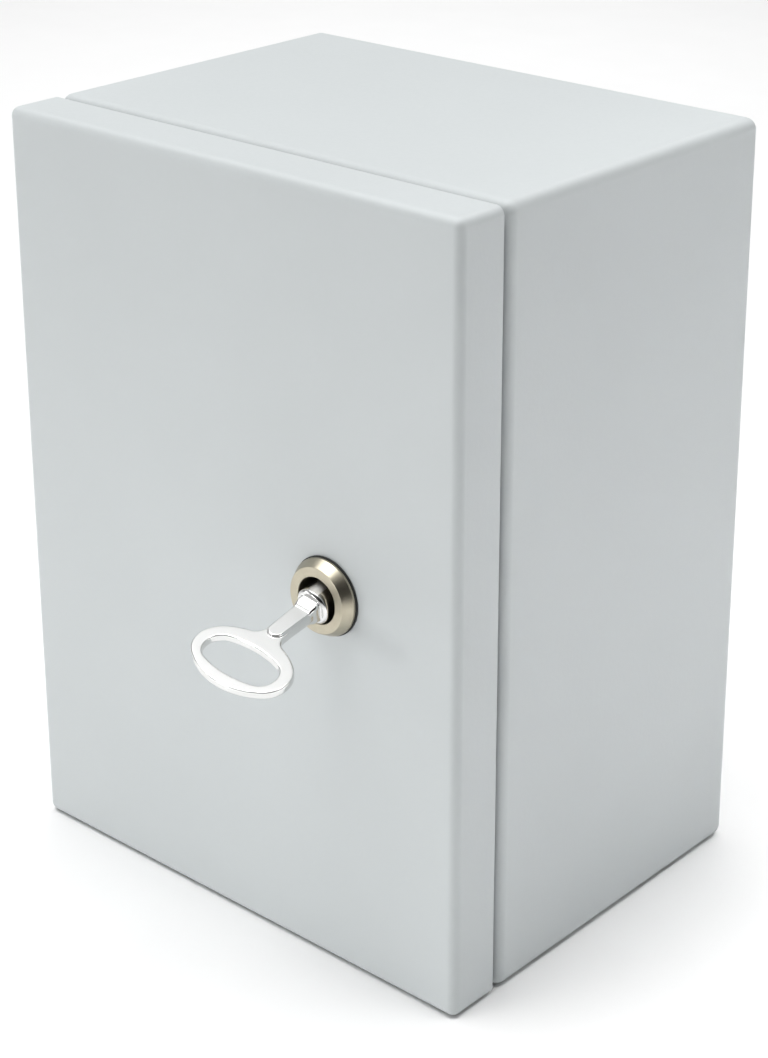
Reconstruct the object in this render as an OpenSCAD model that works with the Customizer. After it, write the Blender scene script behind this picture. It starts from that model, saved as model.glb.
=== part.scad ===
// Wall-mounted utility cabinet in folded sheet steel, with a hinged door, a cam lock and its key.
// Millimetres. The back lies on y = 0, the door faces -y, z is up.
// The origin is the centre of the four wall holes on the back face.

/* [Cabinet] */
// Overall width
cabinet_w = 220; // [190:1:320]
// Overall height
cabinet_h = 300; // [260:1:450]
// Overall depth from the back to the front of the door
cabinet_d = 170; // [150:1:260]

/* [Body sheet] */
// Thickness of the body sheet
body_sheet = 1.2; // [1:0.1:1.6]
// Outside radius of the body's bends
body_bend = 4.5; // [3:0.25:6]
// Height of the lip that stands forward round the door opening
lip_h = 15; // [13:0.5:16]
// Corner radius of the lip, outside
lip_corner = 8; // [5:0.5:12]

/* [Wall holes] */
// Diameter of each wall hole
wall_hole_d = 8.5; // [6:0.5:11]
// Distance of a wall hole from the cabinet's sides, top and bottom
wall_hole_inset = 35; // [33:1:45]

/* [Door] */
// Thickness of the door sheet
door_sheet = 1.5; // [1.2:0.1:2]
// Depth of the door pan
door_depth = 22; // [20:0.5:26]
// Outside radius of the door's bends
door_bend = 3.5; // [2.5:0.25:5]
// Gap between the door's edge and the body
door_gap = 2.5; // [2.2:0.1:3]
// How much the door stays short of the cabinet's top and bottom
door_inset = 0.2; // [0:0.1:1.5]
// Width of the foam gasket
gasket_w = 9.5; // [8:0.5:12]
// Room between the gasket and the lip it closes on
gasket_gap = 0.3; // [0.2:0.1:0.6]

/* [Hinges] */
// Distance of the hinge axis from the cabinet's left side
hinge_inset = 6.5; // [6.2:0.1:7.2]
// Distance of each hinge from the door's top or bottom edge
hinge_end = 60; // [45:1:80]
// Diameter of the hinge pin
pin_d = 5; // [4:0.25:5.5]
// Height of the body's knuckle
knuckle_h = 16; // [12:1:24]
// Thickness of the hinge ears
ear_t = 3; // [2:0.5:4]
// Thickness of the hinge brackets
bracket_t = 2.5; // [2:0.25:3]
// Radial running clearance on the hinge pin
pin_clear = 0.05; // [0.02:0.01:0.1]

/* [Lock] */
// Distance of the lock axis from the cabinet's right side
lock_inset = 60; // [56:1:75]
// Diameter of the lock head at the door
head_d = 29.2; // [28:0.1:34]
// Diameter of the head's flat face
face_d = 25; // [22:0.5:26]
// Height of the head above the door, with its seal
head_h = 5.6; // [5:0.1:6.5]
// Diameter of the key recess
recess_d = 17.5; // [17.4:0.1:19]
// Depth of the recess below the door's outside
recess_depth = 8; // [7.5:0.25:10]
// Diameter of the threaded barrel behind the head
barrel_d = 22; // [21:0.5:24]
// Width across the barrel's two flats
barrel_flats = 20; // [19.5:0.25:20.5]
// Thickness of the rubber seal under the head
seal_t = 0.8; // [0.5:0.1:1.5]
// Diameter of the turning shaft inside the barrel
shaft_d = 12; // [11.5:0.25:13]
// Side of the square that drives the cam
square_w = 8; // [7:0.25:8.25]
// Thickness of the cam
cam_t = 2.5; // [2:0.25:3]
// How far the locked cam reaches behind the flange
cam_catch = 14; // [8:0.5:18]
// Room between the flange and the locked cam behind it
cam_play = 2; // [1.5:0.25:4]
// Width of the cam
cam_w = 20; // [18:0.5:24]

/* [Key] */
// Diameter of the key's barrel
key_barrel_d = 14; // [13:0.1:14.2]
// Angle by which the key sags in its recess
key_droop = 12.5; // [0:0.5:13]
// Angle by which the key is turned clockwise, seen from the front
key_roll = 10; // [0:1:20]
// Diameter of the drive pin in the lock
drive_pin_d = 5; // [4:0.25:5.25]
// Thickness of the two wings on the drive pin
wing_t = 3; // [2.5:0.1:3.2]
// Width of the oval bow
bow_w = 41; // [36:0.5:48]
// Length of the oval bow
bow_l = 27; // [25:0.5:30]
// Thickness of the bow
bow_t = 3; // [2.4:0.1:3.6]
// Width of the band round the finger hole
bow_band = 4.8; // [3:0.1:5.2]
// Width of the fan between the finger hole and the stem
bow_fan = 6.4; // [4:0.1:7]
// Distance of the bow's centre from the door
bow_reach = 43.5; // [41:0.5:50]
// Width of the stem
stem_w = 8.2; // [7:0.1:9]
// Thickness over the raised ribs on both faces of the stem
rib_t = 5.2; // [4.4:0.1:6]
// Radius of the hollow between stem and bow
throat_r = 5; // [4:0.25:7]

/* [Mounting plate] */
// Thickness of the mounting plate
plate_sheet = 2; // [1.5:0.25:3]
// Distance of the plate from the back of the cabinet
plate_standoff = 10; // [8:0.5:20]
// Room between the plate and the door opening at each side
plate_side_gap = 4; // [2:0.5:10]
// Room between the plate and the wall holes above and below it
plate_end_gap = 10.75; // [8:0.25:20]
// Distance of a stud from the plate's edges
stud_inset = 10; // [8:0.5:14]
// Diameter of the plate's studs
stud_d = 6; // [5:0.5:8]

/* [Cable entry] */
// Width of the cut-out in the bottom
entry_w = 110; // [80:1:120]
// Depth of the cut-out in the bottom, front to back
entry_d = 55; // [40:1:60]
// How far the cover plate reaches past the cut-out
entry_overlap = 12; // [11:0.5:14]
// Thickness of the cover plate
entry_sheet = 1.5; // [1:0.25:2.5]
// Thickness of the gasket under the cover plate
entry_gasket_t = 2; // [1:0.25:3]
// Diameter of the cover plate's studs
entry_stud_d = 5; // [4:0.5:5.5]

/* [Earthing] */
// Diameter of the earthing studs
earth_stud_d = 6; // [5:0.5:8]
// Distance of the body's earthing stud from the right side
earth_inset = 22; // [18:1:26]
// Distance of the door's earthing stud from the door's centre
door_earth_x = 40; // [30:1:50]
// Height of the door's earthing stud below the door's centre
door_earth_z = 95; // [80:1:105]

/* [Hidden] */
$fn = 48;
// Clearances between pieces that are put together
slip = 0.2;
hole_slip = 0.4;
axial_gap = 0.2;
swing_gap = 0.45;
side_gap = 0.5;
overcut = 1;
// Front planes of the body, the lip and the door
body_d = cabinet_d - door_depth - door_gap;
flange_y = -body_d;
flange_back = flange_y + body_sheet;
lip_y = flange_y - lip_h;
door_rear = -cabinet_d + door_depth;
door_inside = -cabinet_d + door_sheet;
door_h = cabinet_h - 2 * door_inset;
floor_in = -cabinet_h / 2 + body_sheet;
// The axis stands so far forward that the door's rear corner swings clear of the flange
axis_reach = (pow(hinge_inset, 2) + pow(door_gap, 2) - pow(swing_gap, 2)) / (2 * (door_gap - swing_gap));
hinge_x = -cabinet_w / 2 + hinge_inset;
hinge_y = flange_y - axis_reach;
hinge_z = door_h / 2 - hinge_end;
corner_swing = axis_reach - swing_gap;
ear_r = hinge_inset - door_sheet - side_gap;
knuckle_r = ear_r - side_gap;
ear_z = knuckle_h / 2 + axial_gap;
ear_reach = hinge_y - door_inside;
base_x = door_bend + slip - hinge_inset;
base_w = 11;
leg_x = corner_swing + 2 * side_gap;
foot_past = 6;
foot_h = knuckle_h + 2 * foot_past;
pin_head_d = 2 * knuckle_r;
pin_head_h = 1.5;
pin_tail = 1;
// The rain channel holds the hinge, and the lip meets the middle of the gasket
gasket_out = hinge_inset + leg_x + bracket_t + 2 * side_gap + slip;
flange_w = gasket_out + (gasket_w - body_sheet) / 2;
opening_w = cabinet_w - 2 * (flange_w + body_sheet);
opening_h = cabinet_h - 2 * (flange_w + body_sheet);
gasket_t = lip_y - gasket_gap - door_inside;
gasket_corner = lip_corner + flange_w - gasket_out;
wall_hole_x = cabinet_w / 2 - wall_hole_inset;
wall_hole_z = cabinet_h / 2 - wall_hole_inset;
// Lock, measured outwards from the door's outside
lock_x = cabinet_w / 2 - lock_inset;
lock_z = 0;
cam_front = -(cabinet_d + flange_back) - cam_play;
housing_back = cam_front + slip;
head_rim = 1;
face_edge = 0.3;
seal_rim = 0.4;
seal_d = head_d + 2 * seal_rim;
disc_t = 2;
disc_top = disc_t - recess_depth;
disc_clear = 0.3;
disc_d = recess_d - 2 * disc_clear;
shaft_clear = 0.05;
cam_clear = 0.05;
cam_reach = lock_inset - flange_w - body_sheet + cam_catch;
nut_wall = 3;
nut_af = barrel_d + 2 * nut_wall;
nut_t = 5;
thread_clear = 0.05;
cam_screw_d = 5;
cam_screw_l = 10;
cam_washer_rim = 1.5;
cam_washer_d = square_w * sqrt(2) + 2 * cam_washer_rim;
cam_washer_t = 1.2;
screw_head_d = 8.5;
screw_head_h = 3;
hex_key_d = 4;
// Key, measured outwards along its own axis from the door's outside
mouth_gap = 2;
key_mouth = disc_top + mouth_gap;
shoulder_rise = 2.8;
key_shoulder = head_h + shoulder_rise;
key_edge = 0.8;
drive_tip = 2;
wing_tip = 0;
wing_reach = 3;
wing_r = drive_pin_d / 2 + wing_reach;
bore_room = 1.5;
key_bore_d = drive_pin_d + 2 * bore_room;
bore_end_room = 1.6;
key_bore_end = drive_tip + bore_end_room;
slot_room = 0.9;
slot_w = wing_t + slot_room;
slot_end_room = 1.2;
slot_end = wing_tip + slot_end_room;
bow_end_r = 10;
hole_end_r = 6.6;
rib_step = 0.4;
rib_start_w = stem_w - 2 * rib_step;
rib_taper = 0.6;
rib_end_w = rib_start_w - 2 * rib_taper;
root_l = 4.6;
rib_start = key_shoulder + root_l;
rib_stop = 4;
rib_end = bow_reach - bow_l / 2 - rib_stop;
root_t = 8.4;
root_w = 9;
root_sink = 0.2;
root_end = rib_start + root_sink;
// Fasteners
nut_ratio = 1.7;
nut_ratio_h = 0.8;
washer_ratio = 2;
washer_ratio_t = 0.2;
tail = 2;
plate_w = opening_w - 2 * plate_side_gap;
plate_h = cabinet_h - 2 * (wall_hole_inset + wall_hole_d / 2 + plate_end_gap);
plate_corner = 4;
plate_front = body_sheet + plate_standoff + plate_sheet;
spacer_wall = 2.5;
spacer_d = stud_d + 2 * spacer_wall;
entry_y = -body_d / 2;
entry_corner = 5;
entry_top = entry_gasket_t + entry_sheet;
earth_y = -body_d / 2;
earth_bare = 8;

// Rectangle with round corners, centred
module rounded_rect(w, h, r) {
    square([w - 2 * r, h], center = true);
    square([w, h - 2 * r], center = true);
    for (x = [-1, 1], y = [-1, 1])
        translate([x * (w / 2 - r), y * (h / 2 - r)])
            circle(r);
}

// Block whose twelve edges are bends of radius r, centred
module bent_block(w, d, h, r) {
    intersection() {
        linear_extrude(h, center = true) rounded_rect(w, d, r);
        rotate([90, 0, 0]) linear_extrude(d, center = true) rounded_rect(w, h, r);
        rotate([0, 90, 0]) linear_extrude(w, center = true) rounded_rect(h, d, r);
    }
}

// Prism of a flat shape, drawn on x and z, from the plane y = from forward to y = to
module forward(from, to) {
    translate([0, from, 0])
        rotate([90, 0, 0])
            linear_extrude(from - to)
                children();
}

// Frame between two rounded rectangles
module frame(w, h, r, band) {
    difference() {
        rounded_rect(w, h, r);
        rounded_rect(w - 2 * band, h - 2 * band, max(r - band, 0.5));
    }
}

module at_corners(x, z) {
    for (i = [-1, 1], k = [-1, 1])
        translate([i * x, k * z])
            children();
}

module washer(d) {
    difference() {
        cylinder(d = washer_ratio * d, h = washer_ratio_t * d);
        translate([0, 0, -overcut]) cylinder(d = d + hole_slip, h = washer_ratio_t * d + 2 * overcut);
    }
}

module hex_nut(d) {
    difference() {
        cylinder(d = nut_ratio * d / cos(30), h = nut_ratio_h * d, $fn = 6);
        translate([0, 0, -overcut]) cylinder(d = d + 2 * thread_clear, h = nut_ratio_h * d + 2 * overcut);
    }
}

// Length of a stud that carries a stack of this height, one washer and one nut
function stud_length(d, stack) = stack + (washer_ratio_t + nut_ratio_h) * d + tail;

// Body: one welded box with an inward flange and a forward lip round the door opening
module body_shell() {
    color("#c3c8c9")
    difference() {
        union() {
            difference() {
                translate([0, -body_d / 2, 0])
                    bent_block(cabinet_w, body_d, cabinet_h, body_bend);
                translate([0, -body_d / 2, 0])
                    bent_block(cabinet_w - 2 * body_sheet, body_d - 2 * body_sheet,
                        cabinet_h - 2 * body_sheet, body_bend - body_sheet);
            }
            forward(flange_back, lip_y)
                rounded_rect(cabinet_w - 2 * flange_w, cabinet_h - 2 * flange_w, lip_corner);
        }
        forward(flange_back + overcut, lip_y - overcut)
            rounded_rect(opening_w, opening_h, lip_corner - body_sheet);
        forward(overcut, -body_sheet - overcut)
            at_corners(wall_hole_x, wall_hole_z)
                circle(d = wall_hole_d);
        translate([0, entry_y, floor_in - body_sheet - overcut])
            linear_extrude(body_sheet + 2 * overcut)
                rounded_rect(entry_w, entry_d, entry_corner);
    }
}

// Cranked bracket on the flange, with the knuckle that the pin turns in
module body_hinge(z) {
    color("#b9bec0")
    translate([hinge_x, hinge_y, z])
        difference() {
            union() {
                linear_extrude(knuckle_h, center = true) {
                    circle(knuckle_r);
                    translate([0, -knuckle_r]) square([leg_x, bracket_t]);
                    intersection() {
                        translate([leg_x, bracket_t - knuckle_r]) circle(bracket_t);
                        translate([leg_x, -knuckle_r]) square(bracket_t);
                    }
                    translate([leg_x, bracket_t - knuckle_r])
                        square([bracket_t, axis_reach + knuckle_r - bracket_t]);
                }
                translate([leg_x, axis_reach - bracket_t, -foot_h / 2])
                    cube([flange_w - hinge_inset - leg_x - side_gap, bracket_t, foot_h]);
            }
            cylinder(d = pin_d + 2 * pin_clear, h = knuckle_h + 2 * overcut, center = true);
        }
}

// Bracket on the inside of the door, with an ear above and an ear below the knuckle
module door_hinge(z) {
    color("#b9bec0")
    translate([hinge_x, hinge_y, z])
        difference() {
            union() {
                for (side = [0, 1])
                    mirror([0, 0, side])
                        translate([0, 0, ear_z])
                            linear_extrude(ear_t) {
                                circle(ear_r);
                                translate([base_x, -ear_reach]) square([ear_r - base_x, ear_reach]);
                            }
                translate([base_x, -ear_reach, -ear_z - ear_t])
                    cube([base_w, bracket_t, 2 * (ear_z + ear_t)]);
            }
            cylinder(d = pin_d + 2 * pin_clear, h = 2 * (ear_z + ear_t + overcut), center = true);
        }
}

module hinge_pin(z) {
    color("#cfd2d4")
    translate([hinge_x, hinge_y, z]) {
        translate([0, 0, -ear_z - ear_t - pin_tail])
            cylinder(d = pin_d, h = 2 * (ear_z + ear_t) + pin_tail);
        translate([0, 0, ear_z + ear_t])
            cylinder(d = pin_head_d, h = pin_head_h);
    }
}

// Mounting plate on four studs at the back
module at_plate_studs(from) {
    translate([0, -from, 0])
        rotate([90, 0, 0])
            at_corners(plate_w / 2 - stud_inset, plate_h / 2 - stud_inset)
                children();
}

module plate_studs() {
    color("#d8dadb")
    at_plate_studs(body_sheet)
        cylinder(d = stud_d, h = stud_length(stud_d, plate_standoff + plate_sheet));
}

module plate_spacers() {
    color("#d8dadb")
    at_plate_studs(body_sheet)
        difference() {
            cylinder(d = spacer_d, h = plate_standoff);
            translate([0, 0, -overcut])
                cylinder(d = stud_d + hole_slip, h = plate_standoff + 2 * overcut);
        }
}

module mounting_plate() {
    color("#d2cfc0")
    forward(-body_sheet - plate_standoff, -plate_front)
        difference() {
            rounded_rect(plate_w, plate_h, plate_corner);
            at_corners(plate_w / 2 - stud_inset, plate_h / 2 - stud_inset)
                circle(d = stud_d + hole_slip);
        }
}

module plate_washers() {
    color("#d8dadb")
    at_plate_studs(plate_front) washer(stud_d);
}

module plate_nuts() {
    color("#d8dadb")
    at_plate_studs(plate_front + washer_ratio_t * stud_d) hex_nut(stud_d);
}

// Blank cover over the cable entry in the bottom
module at_entry_studs(up) {
    translate([0, entry_y, floor_in + up])
        at_corners(entry_w / 2 + entry_overlap / 2, entry_d / 2 + entry_overlap / 2)
            children();
}

module entry_outline() {
    rounded_rect(entry_w + 2 * entry_overlap, entry_d + 2 * entry_overlap, entry_corner);
}

module entry_holes() {
    at_corners(entry_w / 2 + entry_overlap / 2, entry_d / 2 + entry_overlap / 2)
        circle(d = entry_stud_d + hole_slip);
}

module entry_studs() {
    color("#d8dadb")
    at_entry_studs(0) cylinder(d = entry_stud_d, h = stud_length(entry_stud_d, entry_top));
}

module entry_gasket() {
    color("#2b2d2e")
    translate([0, entry_y, floor_in])
        linear_extrude(entry_gasket_t)
            difference() {
                entry_outline();
                rounded_rect(entry_w, entry_d, entry_corner);
                entry_holes();
            }
}

module entry_cover() {
    color("#c3c8c9")
    translate([0, entry_y, floor_in + entry_gasket_t])
        linear_extrude(entry_sheet)
            difference() {
                entry_outline();
                entry_holes();
            }
}

module entry_washers() {
    color("#d8dadb")
    at_entry_studs(entry_top) washer(entry_stud_d);
}

module entry_nuts() {
    color("#d8dadb")
    at_entry_studs(entry_top + washer_ratio_t * entry_stud_d) hex_nut(entry_stud_d);
}

// Earthing studs, one in the bottom of the body and one inside the door
module at_earth(up) {
    translate([cabinet_w / 2 - earth_inset, earth_y, floor_in + up])
        children();
}

module at_door_earth(in) {
    translate([-door_earth_x, door_inside + in, -door_earth_z])
        rotate([-90, 0, 0])
            children();
}

module earth_stud() {
    color("#c9a24a")
    at_earth(0) cylinder(d = earth_stud_d, h = stud_length(earth_stud_d, earth_bare));
}

module earth_washer() {
    color("#d8dadb")
    at_earth(0) washer(earth_stud_d);
}

module earth_nut() {
    color("#c9a24a")
    at_earth(washer_ratio_t * earth_stud_d) hex_nut(earth_stud_d);
}

module door_earth_stud() {
    color("#c9a24a")
    at_door_earth(0) cylinder(d = earth_stud_d, h = stud_length(earth_stud_d, earth_bare));
}

module door_earth_washer() {
    color("#d8dadb")
    at_door_earth(0) washer(earth_stud_d);
}

module door_earth_nut() {
    color("#c9a24a")
    at_door_earth(washer_ratio_t * earth_stud_d) hex_nut(earth_stud_d);
}

// Door: a shallow pan, with the lock's flatted hole
module on_lock_axis() {
    translate([lock_x, -cabinet_d, lock_z])
        rotate([90, 0, 0])
            children();
}

module flatted(d, flats) {
    intersection() {
        circle(d = d);
        square([flats, d], center = true);
    }
}

module door_panel() {
    color("#c9ced0")
    difference() {
        translate([0, door_rear, 0])
            bent_block(cabinet_w, 2 * door_depth, door_h, door_bend);
        translate([0, door_rear, 0])
            bent_block(cabinet_w - 2 * door_sheet, 2 * (door_depth - door_sheet),
                door_h - 2 * door_sheet, door_bend - door_sheet);
        translate([-cabinet_w, door_rear, -cabinet_h])
            cube([2 * cabinet_w, 2 * door_depth, 2 * cabinet_h]);
        on_lock_axis()
            translate([0, 0, -door_sheet - overcut])
                linear_extrude(door_sheet + 2 * overcut)
                    flatted(barrel_d + hole_slip, barrel_flats + hole_slip);
    }
}

module door_gasket() {
    color("#2b2d2e")
    forward(lip_y - gasket_gap, door_inside)
        frame(cabinet_w - 2 * gasket_out, cabinet_h - 2 * gasket_out, gasket_corner, gasket_w);
}

// Lock
module lock_seal() {
    color("#232526")
    on_lock_axis()
        difference() {
            cylinder(d = seal_d, h = seal_t);
            translate([0, 0, -overcut]) cylinder(d = barrel_d + hole_slip, h = seal_t + 2 * overcut);
        }
}

module lock_housing() {
    color("#c9c2b2")
    on_lock_axis()
        difference() {
            union() {
                rotate_extrude()
                    polygon([
                        [0, seal_t],
                        [head_d / 2, seal_t],
                        [head_d / 2, seal_t + head_rim],
                        [face_d / 2, head_h - face_edge],
                        [face_d / 2 - face_edge, head_h],
                        [0, head_h]
                    ]);
                translate([0, 0, housing_back])
                    linear_extrude(seal_t - housing_back)
                        flatted(barrel_d, barrel_flats);
            }
            translate([0, 0, -recess_depth])
                cylinder(d = recess_d, h = recess_depth + head_h + overcut);
            translate([0, 0, housing_back - overcut])
                cylinder(d = shaft_d + 2 * shaft_clear, h = -housing_back);
        }
}

module lock_nut() {
    color("#cfd2d4")
    on_lock_axis()
        translate([0, 0, -door_sheet - nut_t])
            difference() {
                cylinder(d = nut_af / cos(30), h = nut_t, $fn = 6);
                translate([0, 0, -overcut])
                    cylinder(d = barrel_d + 2 * thread_clear, h = nut_t + 2 * overcut);
            }
}

// Turning core: a drive pin with two wings in front, a square with a tapped hole at the back
module lock_core() {
    color("#a9a79f")
    on_lock_axis()
        difference() {
            union() {
                translate([0, 0, -recess_depth]) cylinder(d = disc_d, h = disc_t);
                translate([0, 0, -recess_depth]) cylinder(d = drive_pin_d, h = recess_depth + drive_tip);
                rotate([0, 0, -key_roll])
                    translate([-wing_t / 2, -wing_r, -recess_depth])
                        cube([wing_t, 2 * wing_r, recess_depth + wing_tip]);
                translate([0, 0, cam_front]) cylinder(d = shaft_d, h = -recess_depth - cam_front);
                translate([-square_w / 2, -square_w / 2, cam_front - cam_t])
                    cube([square_w, square_w, cam_t + slip]);
            }
            translate([0, 0, cam_front - cam_t - overcut])
                cylinder(d = cam_screw_d + 2 * thread_clear, h = cam_screw_l + overcut + slip);
        }
}

// Cam, hanging down while the door is unlocked
module lock_cam() {
    color("#cfd2d4")
    on_lock_axis()
        translate([0, 0, cam_front - cam_t])
            linear_extrude(cam_t)
                difference() {
                    union() {
                        circle(d = cam_w);
                        translate([-cam_w / 2, cam_w / 4 - cam_reach]) square([cam_w, cam_reach - cam_w / 4]);
                        for (side = [-1, 1])
                            translate([side * cam_w / 4, cam_w / 4 - cam_reach]) circle(d = cam_w / 2);
                        translate([-cam_w / 4, -cam_reach]) square([cam_w / 2, cam_w / 2]);
                    }
                    square(square_w + 2 * cam_clear, center = true);
                }
}

module cam_washer() {
    color("#d8dadb")
    on_lock_axis()
        translate([0, 0, cam_front - cam_t - cam_washer_t])
            difference() {
                cylinder(d = cam_washer_d, h = cam_washer_t);
                translate([0, 0, -overcut])
                    cylinder(d = cam_screw_d + hole_slip, h = cam_washer_t + 2 * overcut);
            }
}

module cam_screw() {
    color("#cfd2d4")
    on_lock_axis()
        translate([0, 0, cam_front - cam_t - cam_washer_t])
            difference() {
                union() {
                    cylinder(d = cam_screw_d, h = cam_washer_t + cam_screw_l);
                    translate([0, 0, -screw_head_h]) cylinder(d = screw_head_d, h = screw_head_h);
                }
                translate([0, 0, -screw_head_h - overcut])
                    cylinder(d = hex_key_d / cos(30), h = overcut + screw_head_h / 2 + slip, $fn = 6);
            }
}

// Oval of four tangent arcs: half sizes a and b, end radius r
function oval_rise(a, b, r) = (pow(a - r, 2) - pow(b - r, 2)) / (2 * (b - r));
function oval_side_r(a, b, r) = oval_rise(a, b, r) + b;
function oval_tangent_x(a, b, r) = (a - r) * oval_side_r(a, b, r) / (oval_side_r(a, b, r) - r);

module oval(a, b, r) {
    rise = oval_rise(a, b, r);
    side_r = oval_side_r(a, b, r);
    for (side = [-1, 1])
        translate([side * (a - r), 0]) circle(r);
    intersection() {
        translate([0, rise]) circle(side_r, $fn = 96);
        translate([0, -rise]) circle(side_r, $fn = 96);
        square([2 * oval_tangent_x(a, b, r), 2 * b], center = true);
    }
}

// Flat outline of bow and stem, with the stem's axis along y
module key_outline() {
    a = bow_w / 2;
    b = bow_l / 2;
    side_r = oval_side_r(a, b, bow_end_r);
    arc_y = bow_reach + oval_rise(a, b, bow_end_r);
    throat_x = stem_w / 2 + throat_r;
    throat_y = arc_y - sqrt(pow(side_r + throat_r, 2) - pow(throat_x, 2));
    share = side_r / (side_r + throat_r);
    translate([0, bow_reach]) oval(a, b, bow_end_r);
    translate([-stem_w / 2, key_shoulder - key_edge])
        square([stem_w, bow_reach - b - key_shoulder + key_edge + bow_band]);
    difference() {
        polygon([
            [-stem_w / 2, throat_y],
            [stem_w / 2, throat_y],
            [throat_x, throat_y],
            [throat_x * share, arc_y + (throat_y - arc_y) * share],
            [0, bow_reach],
            [-throat_x * share, arc_y + (throat_y - arc_y) * share],
            [-throat_x, throat_y]
        ]);
        for (side = [-1, 1])
            translate([side * throat_x, throat_y]) circle(throat_r);
    }
}

module key_finger_hole() {
    hole_l = bow_l - bow_band - bow_fan;
    translate([0, bow_reach + (bow_fan - bow_band) / 2])
        oval(bow_w / 2 - bow_band, hole_l / 2, hole_end_r);
}

// Key: a slotted barrel, a stem with a rib on each face, and an oval bow, cast in one
module key() {
    color("#e2e4e5")
    on_lock_axis()
        rotate([key_droop, 0, 0])
            rotate([0, 0, -key_roll])
                difference() {
                    union() {
                        rotate([90, 0, 0])
                            linear_extrude(bow_t, center = true)
                                difference() {
                                    key_outline();
                                    key_finger_hole();
                                }
                        rotate([90, 0, 0])
                            linear_extrude(rib_t, center = true) {
                                polygon([
                                    [-rib_start_w / 2, key_shoulder - key_edge],
                                    [rib_start_w / 2, key_shoulder - key_edge],
                                    [rib_start_w / 2, rib_start],
                                    [rib_end_w / 2, rib_end],
                                    [-rib_end_w / 2, rib_end],
                                    [-rib_start_w / 2, rib_start]
                                ]);
                                translate([0, rib_end]) circle(d = rib_end_w);
                            }
                        intersection() {
                            rotate([90, 0, 90])
                                linear_extrude(root_w + overcut, center = true)
                                    polygon([
                                        [-root_t / 2, key_shoulder - key_edge],
                                        [root_t / 2, key_shoulder - key_edge],
                                        [root_t / 2, key_shoulder + key_edge],
                                        [rib_t / 2 - root_sink, root_end],
                                        [root_sink - rib_t / 2, root_end],
                                        [-root_t / 2, key_shoulder + key_edge]
                                    ]);
                            rotate([90, 0, 0])
                                linear_extrude(root_t + overcut, center = true)
                                    polygon([
                                        [-root_w / 2, key_shoulder - key_edge - overcut],
                                        [root_w / 2, key_shoulder - key_edge - overcut],
                                        [rib_start_w / 2 - root_sink, root_end],
                                        [rib_start_w / 2 - root_sink, root_end + overcut],
                                        [root_sink - rib_start_w / 2, root_end + overcut],
                                        [root_sink - rib_start_w / 2, root_end]
                                    ]);
                        }
                        translate([0, 0, key_mouth])
                            cylinder(d = key_barrel_d, h = key_shoulder - key_edge - key_mouth);
                        translate([0, 0, key_shoulder - key_edge])
                            cylinder(d1 = key_barrel_d, d2 = key_barrel_d - 2 * key_edge, h = key_edge);
                    }
                    translate([0, 0, key_mouth - overcut])
                        cylinder(d = key_bore_d, h = key_bore_end - key_mouth + overcut);
                    translate([-slot_w / 2, -key_barrel_d, key_mouth - overcut])
                        cube([slot_w, 2 * key_barrel_d, slot_end - key_mouth + overcut]);
                }
}

body_shell();
body_hinge(hinge_z);  // body_hinge_upper
body_hinge(-hinge_z);  // body_hinge_lower
plate_studs();
plate_spacers();
mounting_plate();
plate_washers();
plate_nuts();
entry_studs();
entry_gasket();
entry_cover();
entry_washers();
entry_nuts();
earth_stud();
earth_washer();
earth_nut();
door_panel();
door_gasket();
door_hinge(hinge_z);  // door_hinge_upper
door_hinge(-hinge_z);  // door_hinge_lower
hinge_pin(hinge_z);  // hinge_pin_upper
hinge_pin(-hinge_z);  // hinge_pin_lower
door_earth_stud();
door_earth_washer();
door_earth_nut();
lock_seal();
lock_housing();
lock_nut();
lock_core();
lock_cam();
cam_washer();
cam_screw();
key();
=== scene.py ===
"""Looks of a small wall-mounted utility cabinet with a cam lock and its key.

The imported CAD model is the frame. Each piece here is a surface worked out with numpy that stands for
its CAD node, or a CAD node with a better finish. Sizes are millimetres in the cabinet's frame, x to
the right, y to the back and z up, with the back on y = 0 and the centre of the wall holes at the
origin. Meshes, floor and lights are in metres.
"""

import logging
import math
from dataclasses import dataclass
from enum import Enum

import bpy
import numpy as np
from mathutils import Matrix, Vector
from mathutils.geometry import tessellate_polygon


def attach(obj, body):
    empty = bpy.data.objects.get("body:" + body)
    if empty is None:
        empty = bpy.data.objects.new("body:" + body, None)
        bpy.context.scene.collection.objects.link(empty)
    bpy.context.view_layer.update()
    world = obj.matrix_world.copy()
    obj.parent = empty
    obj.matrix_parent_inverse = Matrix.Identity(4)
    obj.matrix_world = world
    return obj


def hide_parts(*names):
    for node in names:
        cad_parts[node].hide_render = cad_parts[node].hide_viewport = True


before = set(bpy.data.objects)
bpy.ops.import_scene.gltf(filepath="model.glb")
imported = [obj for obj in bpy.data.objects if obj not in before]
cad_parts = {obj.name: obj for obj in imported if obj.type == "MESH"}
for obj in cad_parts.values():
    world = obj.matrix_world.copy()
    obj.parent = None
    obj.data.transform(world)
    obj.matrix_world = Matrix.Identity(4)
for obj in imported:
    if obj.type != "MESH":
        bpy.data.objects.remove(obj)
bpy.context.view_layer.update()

LOG = logging.getLogger("cabinet")
# Metres in a millimetre
MM = 0.001
# Points closer than this many millimetres become one
WELD = 1e-4
# Points on a bend of a section, on a corner of a rounded rectangle, on a broken edge and round a hole
BEND_STEPS = 8
RING_STEPS = 9
EDGE_STEPS = 5
HOLE_STEPS = 48
# Rows of points that a screw thread gets on each pitch, and its depth as a share of the pitch
ROWS_PER_PITCH = 8
THREAD_DEPTH = 0.54
# A slow cloud's frequency as a share of the grain's
CLOUD_SHARE = 0.06

Pair = tuple[float, float]
Triple = tuple[float, float, float]


class Body(Enum):
    """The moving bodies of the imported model."""

    CABINET = "cabinet"
    DOOR = "door"
    CORE = "lock_core"
    KEY = "key"


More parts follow.
